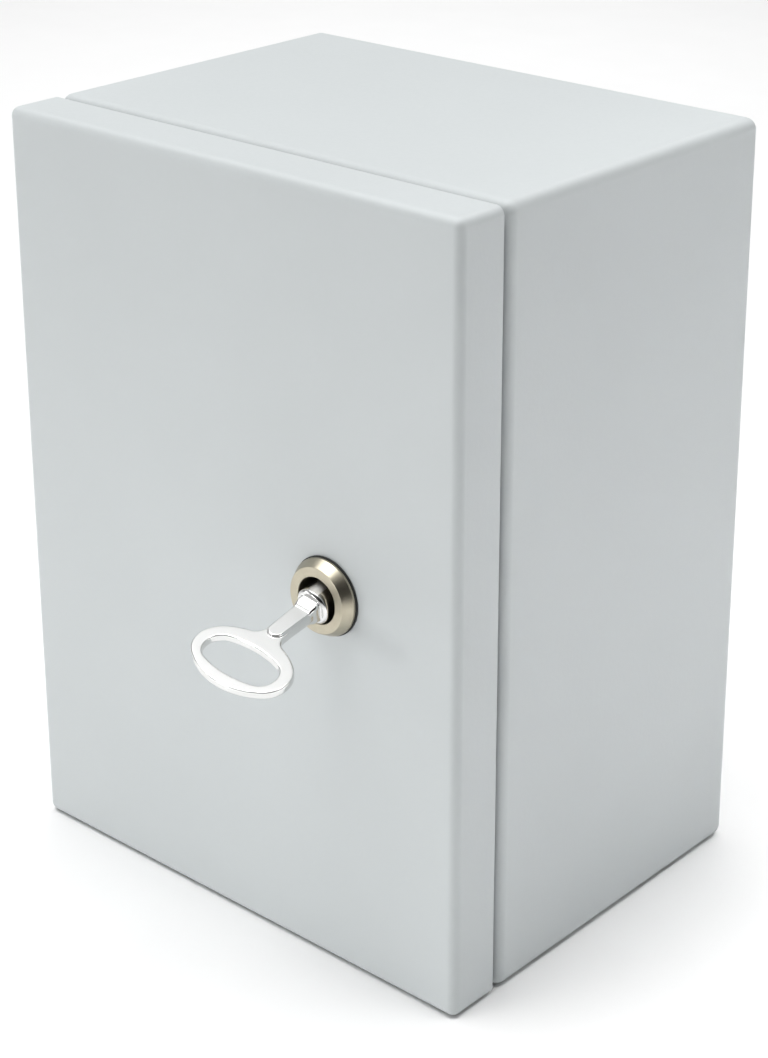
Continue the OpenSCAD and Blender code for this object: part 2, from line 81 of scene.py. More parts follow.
class Slot(Enum):
    """The record's material slots, which the finishes name."""

    POWDER_COAT = "powder_coat"
    ZINC_PLATE = "zinc_plate"
    BRIGHT_STEEL = "bright_steel"
    GALVANISED = "galvanised"
    SEAL_RUBBER = "seal_rubber"
    SEAL_FOAM = "seal_foam"
    BRASS = "brass"
    SATIN_NICKEL = "satin_nickel"
    KEY_NICKEL = "key_nickel"


def linear(colour: str) -> tuple[float, float, float, float]:
    """Turns an sRGB hex colour into linear RGBA.

    Args:
        colour: hex colour such as "#c9cdce".

    Returns:
        Linear red, green, blue and an alpha of 1.
    """
    channels = np.array([int(colour[i:i + 2], 16) for i in (1, 3, 5)]) / 255
    bent = ((channels + 0.055) / 1.055) ** 2.4
    red, green, blue = np.where(channels <= 0.04045, channels / 12.92, bent)
    return float(red), float(green), float(blue), 1.0


def unit(vectors: np.ndarray) -> np.ndarray:
    """Scales vectors on the last axis to length 1, leaving zero vectors as they are."""
    length = np.linalg.norm(vectors, axis=-1, keepdims=True)
    return vectors / np.where(length > 0, length, 1)


def full_turn(steps: int) -> np.ndarray:
    """Evenly spaced angles of one turn, in radians, without the last."""
    return np.linspace(0, 2 * math.pi, steps, endpoint=False)


def around(angle: np.ndarray) -> np.ndarray:
    """Directions (cos t, sin t) at the angles t, on a new last axis."""
    return np.stack([np.cos(angle), np.sin(angle)], -1)


def with_height(flat: np.ndarray, height: np.ndarray | float) -> np.ndarray:
    """Gives points or directions of shape (rows, columns, 2) their third coordinate."""
    return np.concatenate([flat, np.broadcast_to(height, (*flat.shape[:2], 1))], -1)


def four_corners(x: float, y: float) -> list[Pair]:
    """The four points at x to the left and right and y below and above."""
    return [(i * x, k * y) for i in (-1, 1) for k in (-1, 1)]


# Signs of a rectangle's corners, and the directions on its corner arcs, counter-clockwise
CORNERS = np.array([[1, 1], [-1, 1], [-1, -1], [1, -1]])
QUARTERS = around(np.arange(4)[:, None] * math.pi / 2 + np.linspace(0, math.pi / 2, RING_STEPS))


@dataclass(frozen=True)
class Basis:
    """A local frame: an origin and three axes, given in the cabinet's frame."""

    origin: Triple = (0.0, 0.0, 0.0)
    u: Triple = (1.0, 0.0, 0.0)
    v: Triple = (0.0, 1.0, 0.0)
    w: Triple = (0.0, 0.0, 1.0)

    def turn(self, local: np.ndarray) -> np.ndarray:
        """Turns local directions into the cabinet's frame."""
        return local @ np.array([self.u, self.v, self.w])

    def place(self, local: np.ndarray) -> np.ndarray:
        """Puts local points into the cabinet's frame."""
        return self.turn(local) + np.array(self.origin)


def facing(x: float, depth: float, z: float) -> Basis:
    """Local frame seen from the front: x right, y up, z forward out of the door."""
    return Basis((x, -depth, z), (1, 0, 0), (0, 0, 1), (0, -1, 0))


def upright(x: float, y: float, z: float) -> Basis:
    """Local frame with the cabinet's own axes, moved to a point."""
    return Basis((x, y, z))


@dataclass(frozen=True)
class Profile:
    """A line in a plane, as points and outward normals of shape (n, 2)."""

    points: np.ndarray
    normals: np.ndarray
    closed: bool = True

    def as_hole(self) -> "Profile":
        """The same outline, with its normals turned into the hole."""
        return Profile(self.points, -self.normals, self.closed)

    def joined(self, other: "Profile") -> "Profile":
        """The closed outline of this line and then the other."""
        return Profile(np.concatenate([self.points, other.points]),
                       np.concatenate([self.normals, other.normals]))


def rounded(corners: list[Pair], radii: list[float], closed: bool = True, steps: int = BEND_STEPS) -> Profile:
    """Line through corners, each turned by an arc.

    With the directions d1 into and d2 out of a corner and the turn a between them, an arc of radius r
    leaves the first side r tan(a / 2) before the corner. Its points are centre + s r n, where s is the
    sign of the turn and the normal n swings from the first side's to the second's. A normal is the
    direction turned a quarter to the right. Radius 0 keeps a sharp corner with all its normals.

    Args:
        corners: corner points.
        radii: one arc radius for each corner; open ends take 0.
        closed: whether the last corner joins the first.
        steps: points on each arc.

    Returns:
        The profile.
    """
    p = np.array(corners, float)
    r = np.array(radii, float)[:, None]
    d1, d2 = unit(p - np.roll(p, 1, 0)), unit(np.roll(p, -1, 0) - p)
    if not closed:
        d1[0], d2[-1] = d2[0], d1[-1]
    turn = np.arctan2(d1[:, :1] * d2[:, 1:] - d1[:, 1:] * d2[:, :1], (d1 * d2).sum(1, keepdims=True))
    start_normal = np.concatenate([d1[:, 1:], -d1[:, :1]], 1)
    side = np.sign(turn)
    centre = p - d1 * r * np.tan(np.abs(turn) / 2) - side * r * start_normal
    angle = np.arctan2(start_normal[:, 1:], start_normal[:, :1]) + turn * np.linspace(0, 1, steps)
    normals = around(angle)
    points = centre[:, None] + (side * r)[:, None] * normals
    if closed:
        return Profile(points.reshape(-1, 2), normals.reshape(-1, 2))
    return Profile(np.concatenate([p[:1], points[1:-1].reshape(-1, 2), p[-1:]]),
                   np.concatenate([normals[0, :1], normals[1:-1].reshape(-1, 2), normals[-1, :1]]), False)


def box_line(low: Pair, high: Pair, radius: float, steps: int = BEND_STEPS) -> Profile:
    """Closed rectangle between two opposite corners, with all its corners turned by the same arc."""
    (left, bottom), (right, top) = low, high
    return rounded([(left, bottom), (right, bottom), (right, top), (left, top)], [radius] * 4, steps=steps)


@dataclass(frozen=True)
class Arc:
    """Part of a circle, in degrees; a hollow arc has its normals towards its centre."""

    centre: Pair
    radius: float
    start: float
    end: float
    hollow: bool = False


def outline_of(arcs: list[Arc], steps: int = 24) -> Profile:
    """Closed outline of arcs joined by straight lines: each point is centre + r (cos t, sin t).

    Args:
        arcs: the arcs, in order.
        steps: points on each arc.

    Returns:
        The closed outline.
    """
    centre = np.array([a.centre for a in arcs])[:, None]
    radius = np.array([a.radius for a in arcs])[:, None, None]
    sign = np.array([-1.0 if a.hollow else 1.0 for a in arcs])[:, None, None]
    start, end = np.radians([[a.start] for a in arcs]), np.radians([[a.end] for a in arcs])
    ring = around(start + (end - start) * np.linspace(0, 1, steps))
    return Profile((centre + radius * ring).reshape(-1, 2), (sign * ring).reshape(-1, 2))


def circle(radius: float, centre: Pair = (0.0, 0.0), steps: int = HOLE_STEPS) -> Profile:
    """Circle as a closed profile: centre + r (cos t, sin t)."""
    ring = around(full_turn(steps))
    return Profile(np.array(centre) + radius * ring, ring)


def oval_shape(half: Pair, end_radius: float) -> Triple:
    """Where the four tangent arcs of an oval lie.

    With half sizes a and b and end radius r, the end arcs' centres lie a - r from the middle, and the long
    arcs' centres ((a - r)^2 - (b - r)^2) / (2 (b - r)) beyond it on the far side. The arcs meet on the
    lines between centres.

    Args:
        half: half width and half height.
        end_radius: radius of the two end arcs.

    Returns:
        The end centres' distance, the long arcs' centres' distance and the angle, in degrees, of the meeting.
    """
    reach, low = half[0] - end_radius, half[1] - end_radius
    rise = (reach ** 2 - low ** 2) / (2 * low)
    return reach, rise, math.degrees(math.atan2(rise, reach))


def oval(half: Pair, end_radius: float, centre: Pair) -> Profile:
    """Oval of four tangent arcs.

    Args:
        half: half width and half height.
        end_radius: radius of the two end arcs.
        centre: middle of the oval.

    Returns:
        The closed outline.
    """
    reach, rise, meet = oval_shape(half, end_radius)
    x, y = centre
    return outline_of([
        Arc((x + reach, y), end_radius, -meet, meet),
        Arc((x, y - rise), rise + half[1], meet, 180 - meet),
        Arc((x - reach, y), end_radius, 180 - meet, 180 + meet),
        Arc((x, y + rise), rise + half[1], 180 + meet, 360 - meet),
    ])


def rectangle_ring(half_w: np.ndarray, half_h: np.ndarray, corner: np.ndarray) -> np.ndarray:
    """Rounded rectangles: corner centre + corner radius (cos t, sin t), a quarter turn at each corner.

    Args:
        half_w: half widths, one for each ring.
        half_h: half heights.
        corner: corner radii.

    Returns:
        Points of shape (rings, 4 RING_STEPS, 2), counter-clockwise from the right-hand side.
    """
    arm = np.stack([half_w - corner, half_h - corner], -1)[:, None, None] * CORNERS[:, None]
    return (arm + corner[:, None, None, None] * QUARTERS).reshape(len(half_w), -1, 2)


class Skin:
    """A mesh in the making: patches of points, normals and faces that are welded at the end."""

    def __init__(self) -> None:
        """Starts with no patches."""
        self.points: list[np.ndarray] = []
        self.normals: list[np.ndarray] = []
        self.quads: list[np.ndarray] = []
        self.count = 0

    def add(self, points: np.ndarray, normals: np.ndarray, quads: np.ndarray) -> None:
        """Adds one patch.

        Args:
            points: points of shape (n, 3).
            normals: their outward normals.
            quads: corner numbers of shape (m, 4); a triangle repeats its last corner.
        """
        self.points.append(points)
        self.normals.append(normals)
        self.quads.append(quads + self.count)
        self.count += len(points)

    def grid(self, basis: Basis, points: np.ndarray, normals: np.ndarray,
             wrap: tuple[bool, bool] = (False, True), gaps: tuple[tuple[int, int], ...] = ()) -> None:
        """Adds a surface given on a grid of two parameters.

        Args:
            basis: local frame of the points.
            points: points of shape (rows, columns, 3).
            normals: outward normals of the same shape.
            wrap: whether the rows and the columns close on themselves.
            gaps: (row, column) of faces that are left out.
        """
        rows, columns = points.shape[:2]
        number = np.arange(rows * columns).reshape(rows, columns)
        number = np.vstack([number, number[:1]]) if wrap[0] else number
        number = np.hstack([number, number[:, :1]]) if wrap[1] else number
        quads = np.stack([number[:-1, :-1], number[1:, :-1], number[1:, 1:], number[:-1, 1:]], -1)
        kept = np.ones(quads.shape[:2], bool)
        for row, column in gaps:
            kept[row, column] = False
        self.add(basis.place(points).reshape(-1, 3), basis.turn(normals).reshape(-1, 3), quads[kept])

    def flat(self, basis: Basis, outer: np.ndarray, holes: list[np.ndarray], height: float,
             sign: float) -> None:
        """Adds a flat face with holes at one height of a local frame.

        Args:
            basis: local frame of the outlines.
            outer: outline of shape (n, 2).
            holes: outlines of the holes.
            height: place on the frame's third axis.
            sign: 1 for a face that looks along that axis, -1 for one that looks against it.
        """
        loops = [loop[np.linalg.norm(loop - np.roll(loop, 1, 0), axis=1) > WELD] for loop in (outer, *holes)]
        local = [np.pad(loop, ((0, 0), (0, 1)), constant_values=height) for loop in loops]
        triangles = np.array(tessellate_polygon([loop.tolist() for loop in local]))
        points = basis.place(np.concatenate(local))
        normals = np.broadcast_to(basis.turn(np.array([0.0, 0.0, sign])), points.shape)
        self.add(points, normals, triangles[:, [0, 1, 2, 2]])

    def build(self, name: str) -> bpy.types.Object:
        """Welds the patches into one object.

        Points closer than WELD become one, faces are turned to look along their normals, and corners that
        fell together are dropped, so that a pole is a fan of triangles. Each corner keeps the normal of its
        own patch.

        Args:
            name: the object's name.

        Returns:
            The new object, at the origin.
        """
        points, normals, quads = map(np.concatenate, (self.points, self.normals, self.quads))
        _, first, group = np.unique(np.round(points / WELD).astype(np.int64), axis=0,
                                    return_index=True, return_inverse=True)
        welded = points[first]
        corners = group.reshape(-1)[quads]
        a, b, c, d = (welded[corners[:, i]] for i in range(4))
        wrong = (np.cross(c - a, d - b) * normals[quads].sum(1)).sum(1) < 0
        quads[wrong], corners[wrong] = quads[wrong, ::-1], corners[wrong, ::-1]
        distinct = corners != np.roll(corners, 1, axis=1)
        whole = distinct.sum(1) >= 3
        distinct, corners, quads = distinct[whole], corners[whole], quads[whole]
        sizes = distinct.sum(1)
        loops = corners[distinct].astype(np.int32)
        mesh = bpy.data.meshes.new(name)
        mesh.vertices.add(len(welded))
        mesh.vertices.foreach_set("co", (welded * MM).astype(np.float32).ravel())
        mesh.loops.add(len(loops))
        mesh.loops.foreach_set("vertex_index", loops)
        mesh.polygons.add(len(sizes))
        mesh.polygons.foreach_set("loop_start", (np.cumsum(sizes) - sizes).astype(np.int32))
        mesh.update(calc_edges=True)
        mesh.shade_smooth()
        mesh.normals_split_custom_set(unit(normals[quads[distinct]]))
        piece = bpy.data.objects.new(name, mesh)
        bpy.context.scene.collection.objects.link(piece)
        return piece


def revolve(skin: Skin, basis: Basis, profile: Profile, segments: int = 64) -> None:
    """Turns a profile of (radius, height) about the frame's third axis: (r cos t, r sin t, h).

    Args:
        skin: mesh to add to.
        basis: local frame.
        profile: section, with its normals.
        segments: points on one turn.
    """
    ring = around(full_turn(segments))
    points, normals = (with_height(line[:, :1, None] * ring, line[:, 1:, None])
                       for line in (profile.points, profile.normals))
    skin.grid(basis, points, normals, (profile.closed, True))


def frame_rows(size: Triple, profile: Profile) -> tuple[np.ndarray, np.ndarray]:
    """Carries a profile of (outward, depth) round a rounded rectangle.

    A profile point that lies o outside the rectangle runs on the rectangle grown by o, whose corner radius
    is also grown by o, so a bend keeps its section and closes to a ball corner where both radii agree.

    Args:
        size: width, height and corner radius of the rectangle.
        profile: section, with its normals.

    Returns:
        Points and normals of shape (profile points, ring points, 3).
    """
    out, depth = profile.points.T
    ring = rectangle_ring(size[0] / 2 + out, size[1] / 2 + out, np.maximum(size[2] + out, 0))
    way = profile.normals[:, :1, None] * QUARTERS.reshape(-1, 2)
    return with_height(ring, depth[:, None, None]), with_height(way, profile.normals[:, 1:, None])


def slab(skin: Skin, basis: Basis, outer: Profile, holes: list[Profile], span: Pair, edge: float) -> None:
    """Plate of one outline with its edges turned over.

    At the angle t from -90 to 90 degrees the outline is drawn in by e (1 - cos t), and its height is
    e sin t past the end of the straight wall.

    Args:
        skin: mesh to add to.
        basis: local frame of the outline.
        outer: closed outline.
        holes: outlines of the holes, with their normals turned into the hole.
        span: lower and upper height.
        edge: radius of the edges.
    """
    t = np.radians([np.linspace(-90, 0, EDGE_STEPS), np.linspace(0, 90, EDGE_STEPS)]).reshape(-1, 1, 1)
    middle = np.repeat([span[0] + edge, span[1] - edge], EDGE_STEPS)[:, None, None]
    lines = (outer, *holes)
    for line in lines:
        flat = line.points - edge * (1 - np.cos(t)) * line.normals
        skin.grid(basis, with_height(flat, middle + edge * np.sin(t)),
                  with_height(np.cos(t) * line.normals, np.sin(t)))
    rim, *mouths = (line.points - edge * line.normals for line in lines)
    for height, sign in zip(span, (-1, 1)):
        skin.flat(basis, rim, mouths, height, sign)


def thread_rows(radius: float, depth: float, pitch: float, span: Pair, segments: int,
                flats: float = math.inf) -> tuple[np.ndarray, np.ndarray]:
    """Screw thread as a surface of turn and height.

    The radius falls from the crest by depth (1 - cos(2 pi h / pitch - t)) / 2, so one turn t climbs one
    pitch. At both ends a 45 degree lead-in cuts it down to the root. Flats clip the first coordinate.

    Args:
        radius: crest radius.
        depth: depth of the thread.
        pitch: climb of one turn.
        span: lower and upper height.
        segments: points on one turn.
        flats: half distance between two flats, if the thread has them.

    Returns:
        Points and normals of shape (rows, segments, 3).
    """
    h = np.linspace(*span, int(ROWS_PER_PITCH * (span[1] - span[0]) / pitch) + 2)[:, None]
    t = full_turn(segments)
    crest = radius - depth * (1 - np.cos(2 * math.pi * h / pitch - t)) / 2
    r = np.minimum(crest, radius - depth + np.minimum(h - span[0], span[1] - h))
    x = np.clip(r * np.cos(t), -flats, flats)
    points = np.stack([x, r * np.sin(t), np.broadcast_to(h, r.shape)], -1)
    along = np.roll(points, -1, 1) - np.roll(points, 1, 1)
    return points, unit(np.cross(along, np.gradient(points, axis=0)))


def stud(skin: Skin, basis: Basis, radius: float, pitch: float, length: float, segments: int = 28) -> None:
    """Threaded stud with flat ends: its thread rows, and a disc at each end drawn to its middle.

    Args:
        skin: mesh to add to.
        basis: local frame, with the stud's foot at its origin and the stud on its third axis.
        radius: crest radius of the thread.
        pitch: climb of one turn.
        length: length of the stud.
        segments: points on one turn.
    """
    points, normals = thread_rows(radius, THREAD_DEPTH * pitch, pitch, (0, length), segments)
    skin.grid(basis, points, normals)
    for row, sign in ((0, -1.0), (-1, 1.0)):
        disc = points[row] * np.array([[[1, 1, 1]], [[0, 0, 1]]])
        skin.grid(basis, disc, np.broadcast_to([0.0, 0.0, sign], disc.shape))


def hex_nut(skin: Skin, basis: Basis, across: float, bore: float, height: float, segments: int = 96) -> None:
    """Hexagon nut with chamfered corners.

    At the turn t the hexagon's radius is (across / 2) / cos(t mod 60 - 30 degrees). A 30 degree cone cuts
    the corners on both faces, so the wall ends lower the further out it lies, which draws the usual arcs.

    Args:
        skin: mesh to add to.
        basis: local frame, with the nut standing on its third axis.
        across: width across flats.
        bore: radius of the hole.
        height: height of the nut.
        segments: points on one turn.
    """
    t = full_turn(segments)
    off = t % (math.pi / 3) - math.pi / 6
    wall = across / 2 / np.cos(off)
    cone, bevel = 0.475 * across, 0.06 * across
    wall_top = height - np.maximum(wall - cone, 0) * math.tan(math.radians(30))
    # Radius, height, and the normal's outward and upward share: bore, its bevel, face, cone and wall
    half = [(bore, height / 2, -1, 0), (bore, height - bevel, -1, 0),
            (bore, height - bevel, -0.71, 0.71), (bore + bevel, height, -0.71, 0.71),
            (bore + bevel, height, 0, 1), (cone, height, 0, 1),
            (cone, height, 0.5, 0.87), (wall, wall_top, 0.5, 0.87), (wall, wall_top, 1, 0)]
    rows = half + [(r, height - h, out, -up) for r, h, out, up in half[::-1]]
    r, h, out, up = (np.array([value + 0 * t for value in column]) for column in zip(*rows))
    way = np.where(out == 1, t - off, t)
    points = np.stack([r * np.cos(t), r * np.sin(t), h], -1)
    normals = np.stack([out * np.cos(way), out * np.sin(way), up], -1)
    skin.grid(basis, points, normals, (True, True))


def loft(skin: Skin, basis: Basis, sections: list[tuple[float, float, float, float]]) -> None:
    """Block through rounded rectangles, each a row of corner arcs at its own height, closed at both ends.

    Args:
        skin: mesh to add to.
        basis: local frame, with the sections stacked on its third axis.
        sections: half width, half depth, corner radius and height of each.
    """
    half_w, half_d, corner, height = np.array(sections).T
    ring = rectangle_ring(half_w, half_d, corner)
    way = np.broadcast_to(QUARTERS.reshape(-1, 2), ring.shape)
    skin.grid(basis, with_height(ring, height[:, None, None]), with_height(way, 0.0))
    for row, sign in ((0, -1), (-1, 1)):
        skin.flat(basis, ring[row], [], height[row], sign)


def washer(skin: Skin, basis: Basis, outer: float, bore: float, height: float) -> None:
    """Flat washer: a rectangle with turned-over edges, a fifth of its height, spun about its axis."""
    revolve(skin, basis, box_line((bore, 0), (outer, height), height / 5, 4), 56)


def weld_bead(skin: Skin, start: Triple, end: Triple, radius: float) -> None:
    """Weld bead: a tube along a line, closed by round ends.

    At the length s its radius is r (1 + swell sin(2 pi s / ripple + sway sin t)), drawn in to a quarter
    circle at both ends.

    Args:
        skin: mesh to add to.
        start: start of the line.
        end: end of the line.
        radius: mean radius of the bead.
    """
    step, swell, ripple, sway = 0.16, 0.12, 1.3, 0.4
    a, b = np.array(start), np.array(end)
    along, length = unit(b - a), float(np.linalg.norm(b - a))
    # Square to the bead and to a direction that no bead runs along
    side = unit(np.cross(along, [0.31, 0.52, 0.79]))
    s = length * np.linspace(0, 1, int(length / step) + 2)[:, None]
    t = full_turn(14)
    taper = np.sqrt(1 - (1 - np.minimum(s, length - s) / radius).clip(0) ** 2)
    r = radius * taper * (1 + swell * np.sin(2 * math.pi * s / ripple + sway * np.sin(t)))
    ring = around(t) @ np.stack([side, np.cross(along, side)])
    points = a + s[..., None] * along + r[..., None] * ring
    skin.grid(Basis(), points, np.broadcast_to(ring, points.shape))


def add_node(tree: bpy.types.NodeTree, kind: str, settings: dict | None = None, values: dict | None = None,
             links: dict | None = None) -> bpy.types.Node:
    """Adds one shader node.

    Args:
        tree: the node tree.
        kind: type of node, without the word ShaderNode.
        settings: attributes of the node.
        values: constants, by input name or number.
        links: sockets that feed the node, by input name or number.

    Returns:
        The new node.
    """
    node = tree.nodes.new("ShaderNode" + kind)
    for key, value in (settings or {}).items():
        setattr(node, key, value)
    for key, value in (values or {}).items():
        node.inputs[key].default_value = value
    for key, socket in (links or {}).items():
        tree.links.new(socket, node.inputs[key])
    return node


Sockets = tuple[bpy.types.NodeSocket, bpy.types.NodeSocket, bpy.types.NodeSocket]


@dataclass(frozen=True)
class Finish:
    """A finish: two close colours, the shader's constants, the size and height of its pattern, its slot."""

    title: str
    colour: str
    shade: str
    metallic: float
    roughness: Pair
    grain: float
    relief: float
    slot: Slot | None = None

    def pattern(self, tree: bpy.types.NodeTree, place: bpy.types.NodeSocket) -> Sockets:
        """Draws the pattern: plain grain and slow clouds.

        Args:
            tree: the node tree.
            place: position on the piece, in metres.

        Returns:
            Sockets from 0 to 1 for the shade, the roughness and the height.
        """
        scale = 1 / (self.grain * MM)
        grain = add_node(tree, "TexNoise", None, {"Scale": scale, "Detail": 3.0}, {"Vector": place})
        cloud = add_node(tree, "TexNoise", None, {"Scale": CLOUD_SHARE * scale, "Detail": 2.0},
                         {"Vector": place})
        return cloud.outputs[0], grain.outputs[0], grain.outputs[0]

    def material(self) -> bpy.types.Material:
        """Makes the finish's material, or finds it if it has been made.

        Returns:
            A node material whose colour, roughness and bump follow the pattern.
        """
        made = bpy.data.materials.get(self.title)
        if made:
            return made
        made = bpy.data.materials.new(self.title)
        made.use_nodes = True
        tree = made.node_tree
        shader = tree.nodes["Principled BSDF"]
        shader.inputs["Metallic"].default_value = self.metallic
        place = add_node(tree, "TexCoord").outputs["Object"]
        tone, rough, height = self.pattern(tree, place)
        mixed = add_node(tree, "Mix", {"data_type": "RGBA"},
                         {6: linear(self.colour), 7: linear(self.shade)}, {0: tone})
        spread = add_node(tree, "MapRange", None, {3: self.roughness[0], 4: self.roughness[1]}, {0: rough})
        bump = add_node(tree, "Bump", None, {"Strength": 1.0, "Distance": self.relief * MM},
                        {"Height": height})
        tree.links.new(mixed.outputs[2], shader.inputs["Base Color"])
        tree.links.new(spread.outputs[0], shader.inputs["Roughness"])
        tree.links.new(bump.outputs[0], shader.inputs["Normal"])
        return made


@dataclass(frozen=True)
class PowderCoat(Finish):
    """Powder coat: fused paint with an orange-peel skin and hardly any change of colour."""

    cloud: float = 60.0

    def pattern(self, tree: bpy.types.NodeTree, place: bpy.types.NodeSocket) -> Sockets:
        """Draws wide faint clouds in the colour, and orange peel in roughness and height.

        Args:
            tree: the node tree.
            place: position on the piece, in metres.

        Returns:
            Sockets from 0 to 1 for the shade, the roughness and the height.
        """
        cloud, peel = (add_node(tree, "TexNoise", None, {"Scale": 1 / (size * MM), "Detail": detail},
                                {"Vector": place}) for size, detail in ((self.cloud, 2.0), (self.grain, 1.5)))
        return cloud.outputs[0], peel.outputs[0], peel.outputs[0]


@dataclass(frozen=True)
class TurnedPlate(Finish):
    """Plated metal that was turned on a lathe: fine rings about the lock's axis under the plating."""

    axis: Pair = (50.0, 0.0)
    cloud: float = 4.0

    def pattern(self, tree: bpy.types.NodeTree, place: bpy.types.NodeSocket) -> Sockets:
        """Draws rings of the grain's spacing about the axis, sin(2 pi r / grain), and slow clouds.

        Args:
            tree: the node tree.
            place: position on the piece, in metres.

        Returns:
            Sockets from 0 to 1 for the shade, the roughness and the height.
        """
        centred = add_node(tree, "Mapping", None, {"Location": (-self.axis[0] * MM, 0, -self.axis[1] * MM)},
                           {"Vector": place})
        apart = add_node(tree, "SeparateXYZ", None, None, {0: centred.outputs[0]})
        level = add_node(tree, "CombineXYZ", None, None, {0: apart.outputs[0], 1: apart.outputs[2]})
        reach = add_node(tree, "VectorMath", {"operation": "LENGTH"}, None, {0: level.outputs[0]})
        phase = add_node(tree, "Math", {"operation": "MULTIPLY"}, {1: 2 * math.pi / (self.grain * MM)},
                         {0: reach.outputs[1]})
        rings = add_node(tree, "Math", {"operation": "SINE"}, None, {0: phase.outputs[0]})
        lifted = add_node(tree, "MapRange", None, {1: -1.0, 2: 1.0}, {0: rings.outputs[0]})
        cloud = add_node(tree, "TexNoise", None, {"Scale": 1 / (self.cloud * MM), "Detail": 3.0},
                         {"Vector": place})
        return cloud.outputs[0], cloud.outputs[0], lifted.outputs[0]


@dataclass(frozen=True)
class TumbledPlateShadedFlats(Finish):
    """Plated casting that was tumbled: its edges and sides are polished more than its flats, and its flats
    get a painted shade.
    """

    flatness: str = "flatness"
    flat_band: Pair = (0.9, 0.99)

    def pattern(self, tree: bpy.types.NodeTree, place: bpy.types.NodeSocket) -> Sockets:
        """Darkens the colour as a painted shade and raises roughness where the piece's attribute says it is
        flat; slow waves in height.

        Args:
            tree: the node tree.
            place: position on the piece, in metres.

        Returns:
            Sockets from 0 to 1 for the shade, the roughness and the height.
        """
        # The flat faces take the darker colour: a painted shade that dims the light from above on them
        flat = add_node(tree, "Attribute", {"attribute_name": self.flatness})
        level = add_node(tree, "MapRange", None, {1: self.flat_band[0], 2: self.flat_band[1]},
                         {0: flat.outputs["Fac"]})
        wave = add_node(tree, "TexNoise", None, {"Scale": 1 / (self.grain * MM), "Detail": 2.0},
                        {"Vector": place})
        return level.outputs[0], level.outputs[0], wave.outputs[0]


@dataclass(frozen=True)
class Spangle(Finish):
    """Hot-dip zinc: crystals that each catch the light a little differently."""

    skin: float = 0.8

    def pattern(self, tree: bpy.types.NodeTree, place: bpy.types.NodeSocket) -> Sockets:
        """Draws one random shade and roughness for each crystal, and a fine skin of noise for height.

        Args:
            tree: the node tree.
            place: position on the piece, in metres.

        Returns:
            Sockets from 0 to 1 for the shade, the roughness and the height.
        """
        cells = add_node(tree, "TexVoronoi", None, {"Scale": 1 / (self.grain * MM)}, {"Vector": place})
        apart = add_node(tree, "SeparateColor", None, None, {0: cells.outputs["Color"]})
        skin = add_node(tree, "TexNoise", None, {"Scale": 1 / (self.skin * MM), "Detail": 3.0},
                        {"Vector": place})
        return apart.outputs[0], apart.outputs[1], skin.outputs[0]


@dataclass(frozen=True)
class Foam(Finish):
    """Poured foam: a skin with small open pores."""

    cloud: float = 9.0

    def pattern(self, tree: bpy.types.NodeTree, place: bpy.types.NodeSocket) -> Sockets:
        """Draws pores, the cells of a Voronoi pattern, lowest in the middle, and slow clouds.

        Args:
            tree: the node tree.
            place: position on the piece, in metres.

        Returns:
            Sockets from 0 to 1 for the shade, the roughness and the height.
        """
        pores = add_node(tree, "TexVoronoi", None, {"Scale": 1 / (self.grain * MM)}, {"Vector": place})
        cloud = add_node(tree, "TexNoise", None, {"Scale": 1 / (self.cloud * MM), "Detail": 2.0},
                         {"Vector": place})
        return cloud.outputs[0], cloud.outputs[0], pores.outputs["Distance"]


# Powder-coated steel: light grey, semi-matt, with peel about 1.8 mm wide that softens its highlights
POWDER_COAT = PowderCoat("powder-coated steel", "#cacfd0", "#c6cbcc", 0.0, (0.36, 0.5), 1.8, 0.03,
                         Slot.POWDER_COAT)
# Clear-passivated zinc plate: satin, with a faint blue and yellow cast from place to place
ZINC_PLATE = Finish("zinc-plated steel", "#b4b8bd", "#c4c3ba", 1.0, (0.26, 0.42), 0.9, 0.006, Slot.ZINC_PLATE)
# Bright zinc on fasteners: smoother than the brackets
BRIGHT_ZINC = Finish("bright zinc-plated steel", "#c6cace", "#b9bcc0", 1.0, (0.2, 0.32), 0.7, 0.004,
                     Slot.BRIGHT_STEEL)
# Galvanised sheet: crystals about 9 mm across
GALVANISED = Spangle("galvanised steel sheet", "#b3b7b8", "#c9cccc", 1.0, (0.3, 0.48), 9.0, 0.008,
                     Slot.GALVANISED)
# Vulcanised rubber: black and matt, with a fine moulded grain
RUBBER = Finish("black seal rubber", "#232422", "#2d2e2c", 0.0, (0.6, 0.8), 0.5, 0.02, Slot.SEAL_RUBBER)
# Polyurethane foam: dark grey and open-pored, pores about 0.7 mm
FOAM = Foam("poured polyurethane foam", "#2c2d2e", "#3b3c3d", 0.0, (0.8, 0.95), 0.7, 0.12, Slot.SEAL_FOAM)
# Plain brass: drawn bar, slightly tarnished
BRASS = Finish("drawn brass", "#c9a654", "#a98642", 1.0, (0.24, 0.4), 0.8, 0.006, Slot.BRASS)
# Satin nickel over a turned zinc casting: warm, with rings drawn 0.5 mm apart, coarser than real, to show
SATIN_NICKEL = TurnedPlate("satin nickel plating", "#bab4a3", "#aaa391", 1.0, (0.26, 0.36), 0.5, 0.002,
                           Slot.SATIN_NICKEL)
# Zinc casting of the lock core: dull, its near-black colour a painted shade for the bottom of the recess,
# with the soft mottling of the mould
CORE_SHADE_ZINC = Finish("zinc casting darkened as shade", "#3b3a37", "#2c2b29", 1.0, (0.4, 0.58), 1.2, 0.02)
# Bright nickel over a zinc casting: satin flats, and edges polished nearly to a mirror by tumbling; the
# flats' darker colour next to the edges' is a painted shade
BRIGHT_NICKEL = TumbledPlateShadedFlats("bright nickel plating", "#e2e2e1", "#c8c8c7", 1.0, (0.13, 0.5), 1.6, 0.012,
                             Slot.KEY_NICKEL)
# Matt floor paint: white, rolled out, with no shine
FLOOR_PAINT = Finish("matt white floor paint", "#f4f4f4", "#f1f1f1", 0.0, (0.6, 0.7), 3.0, 0.01)


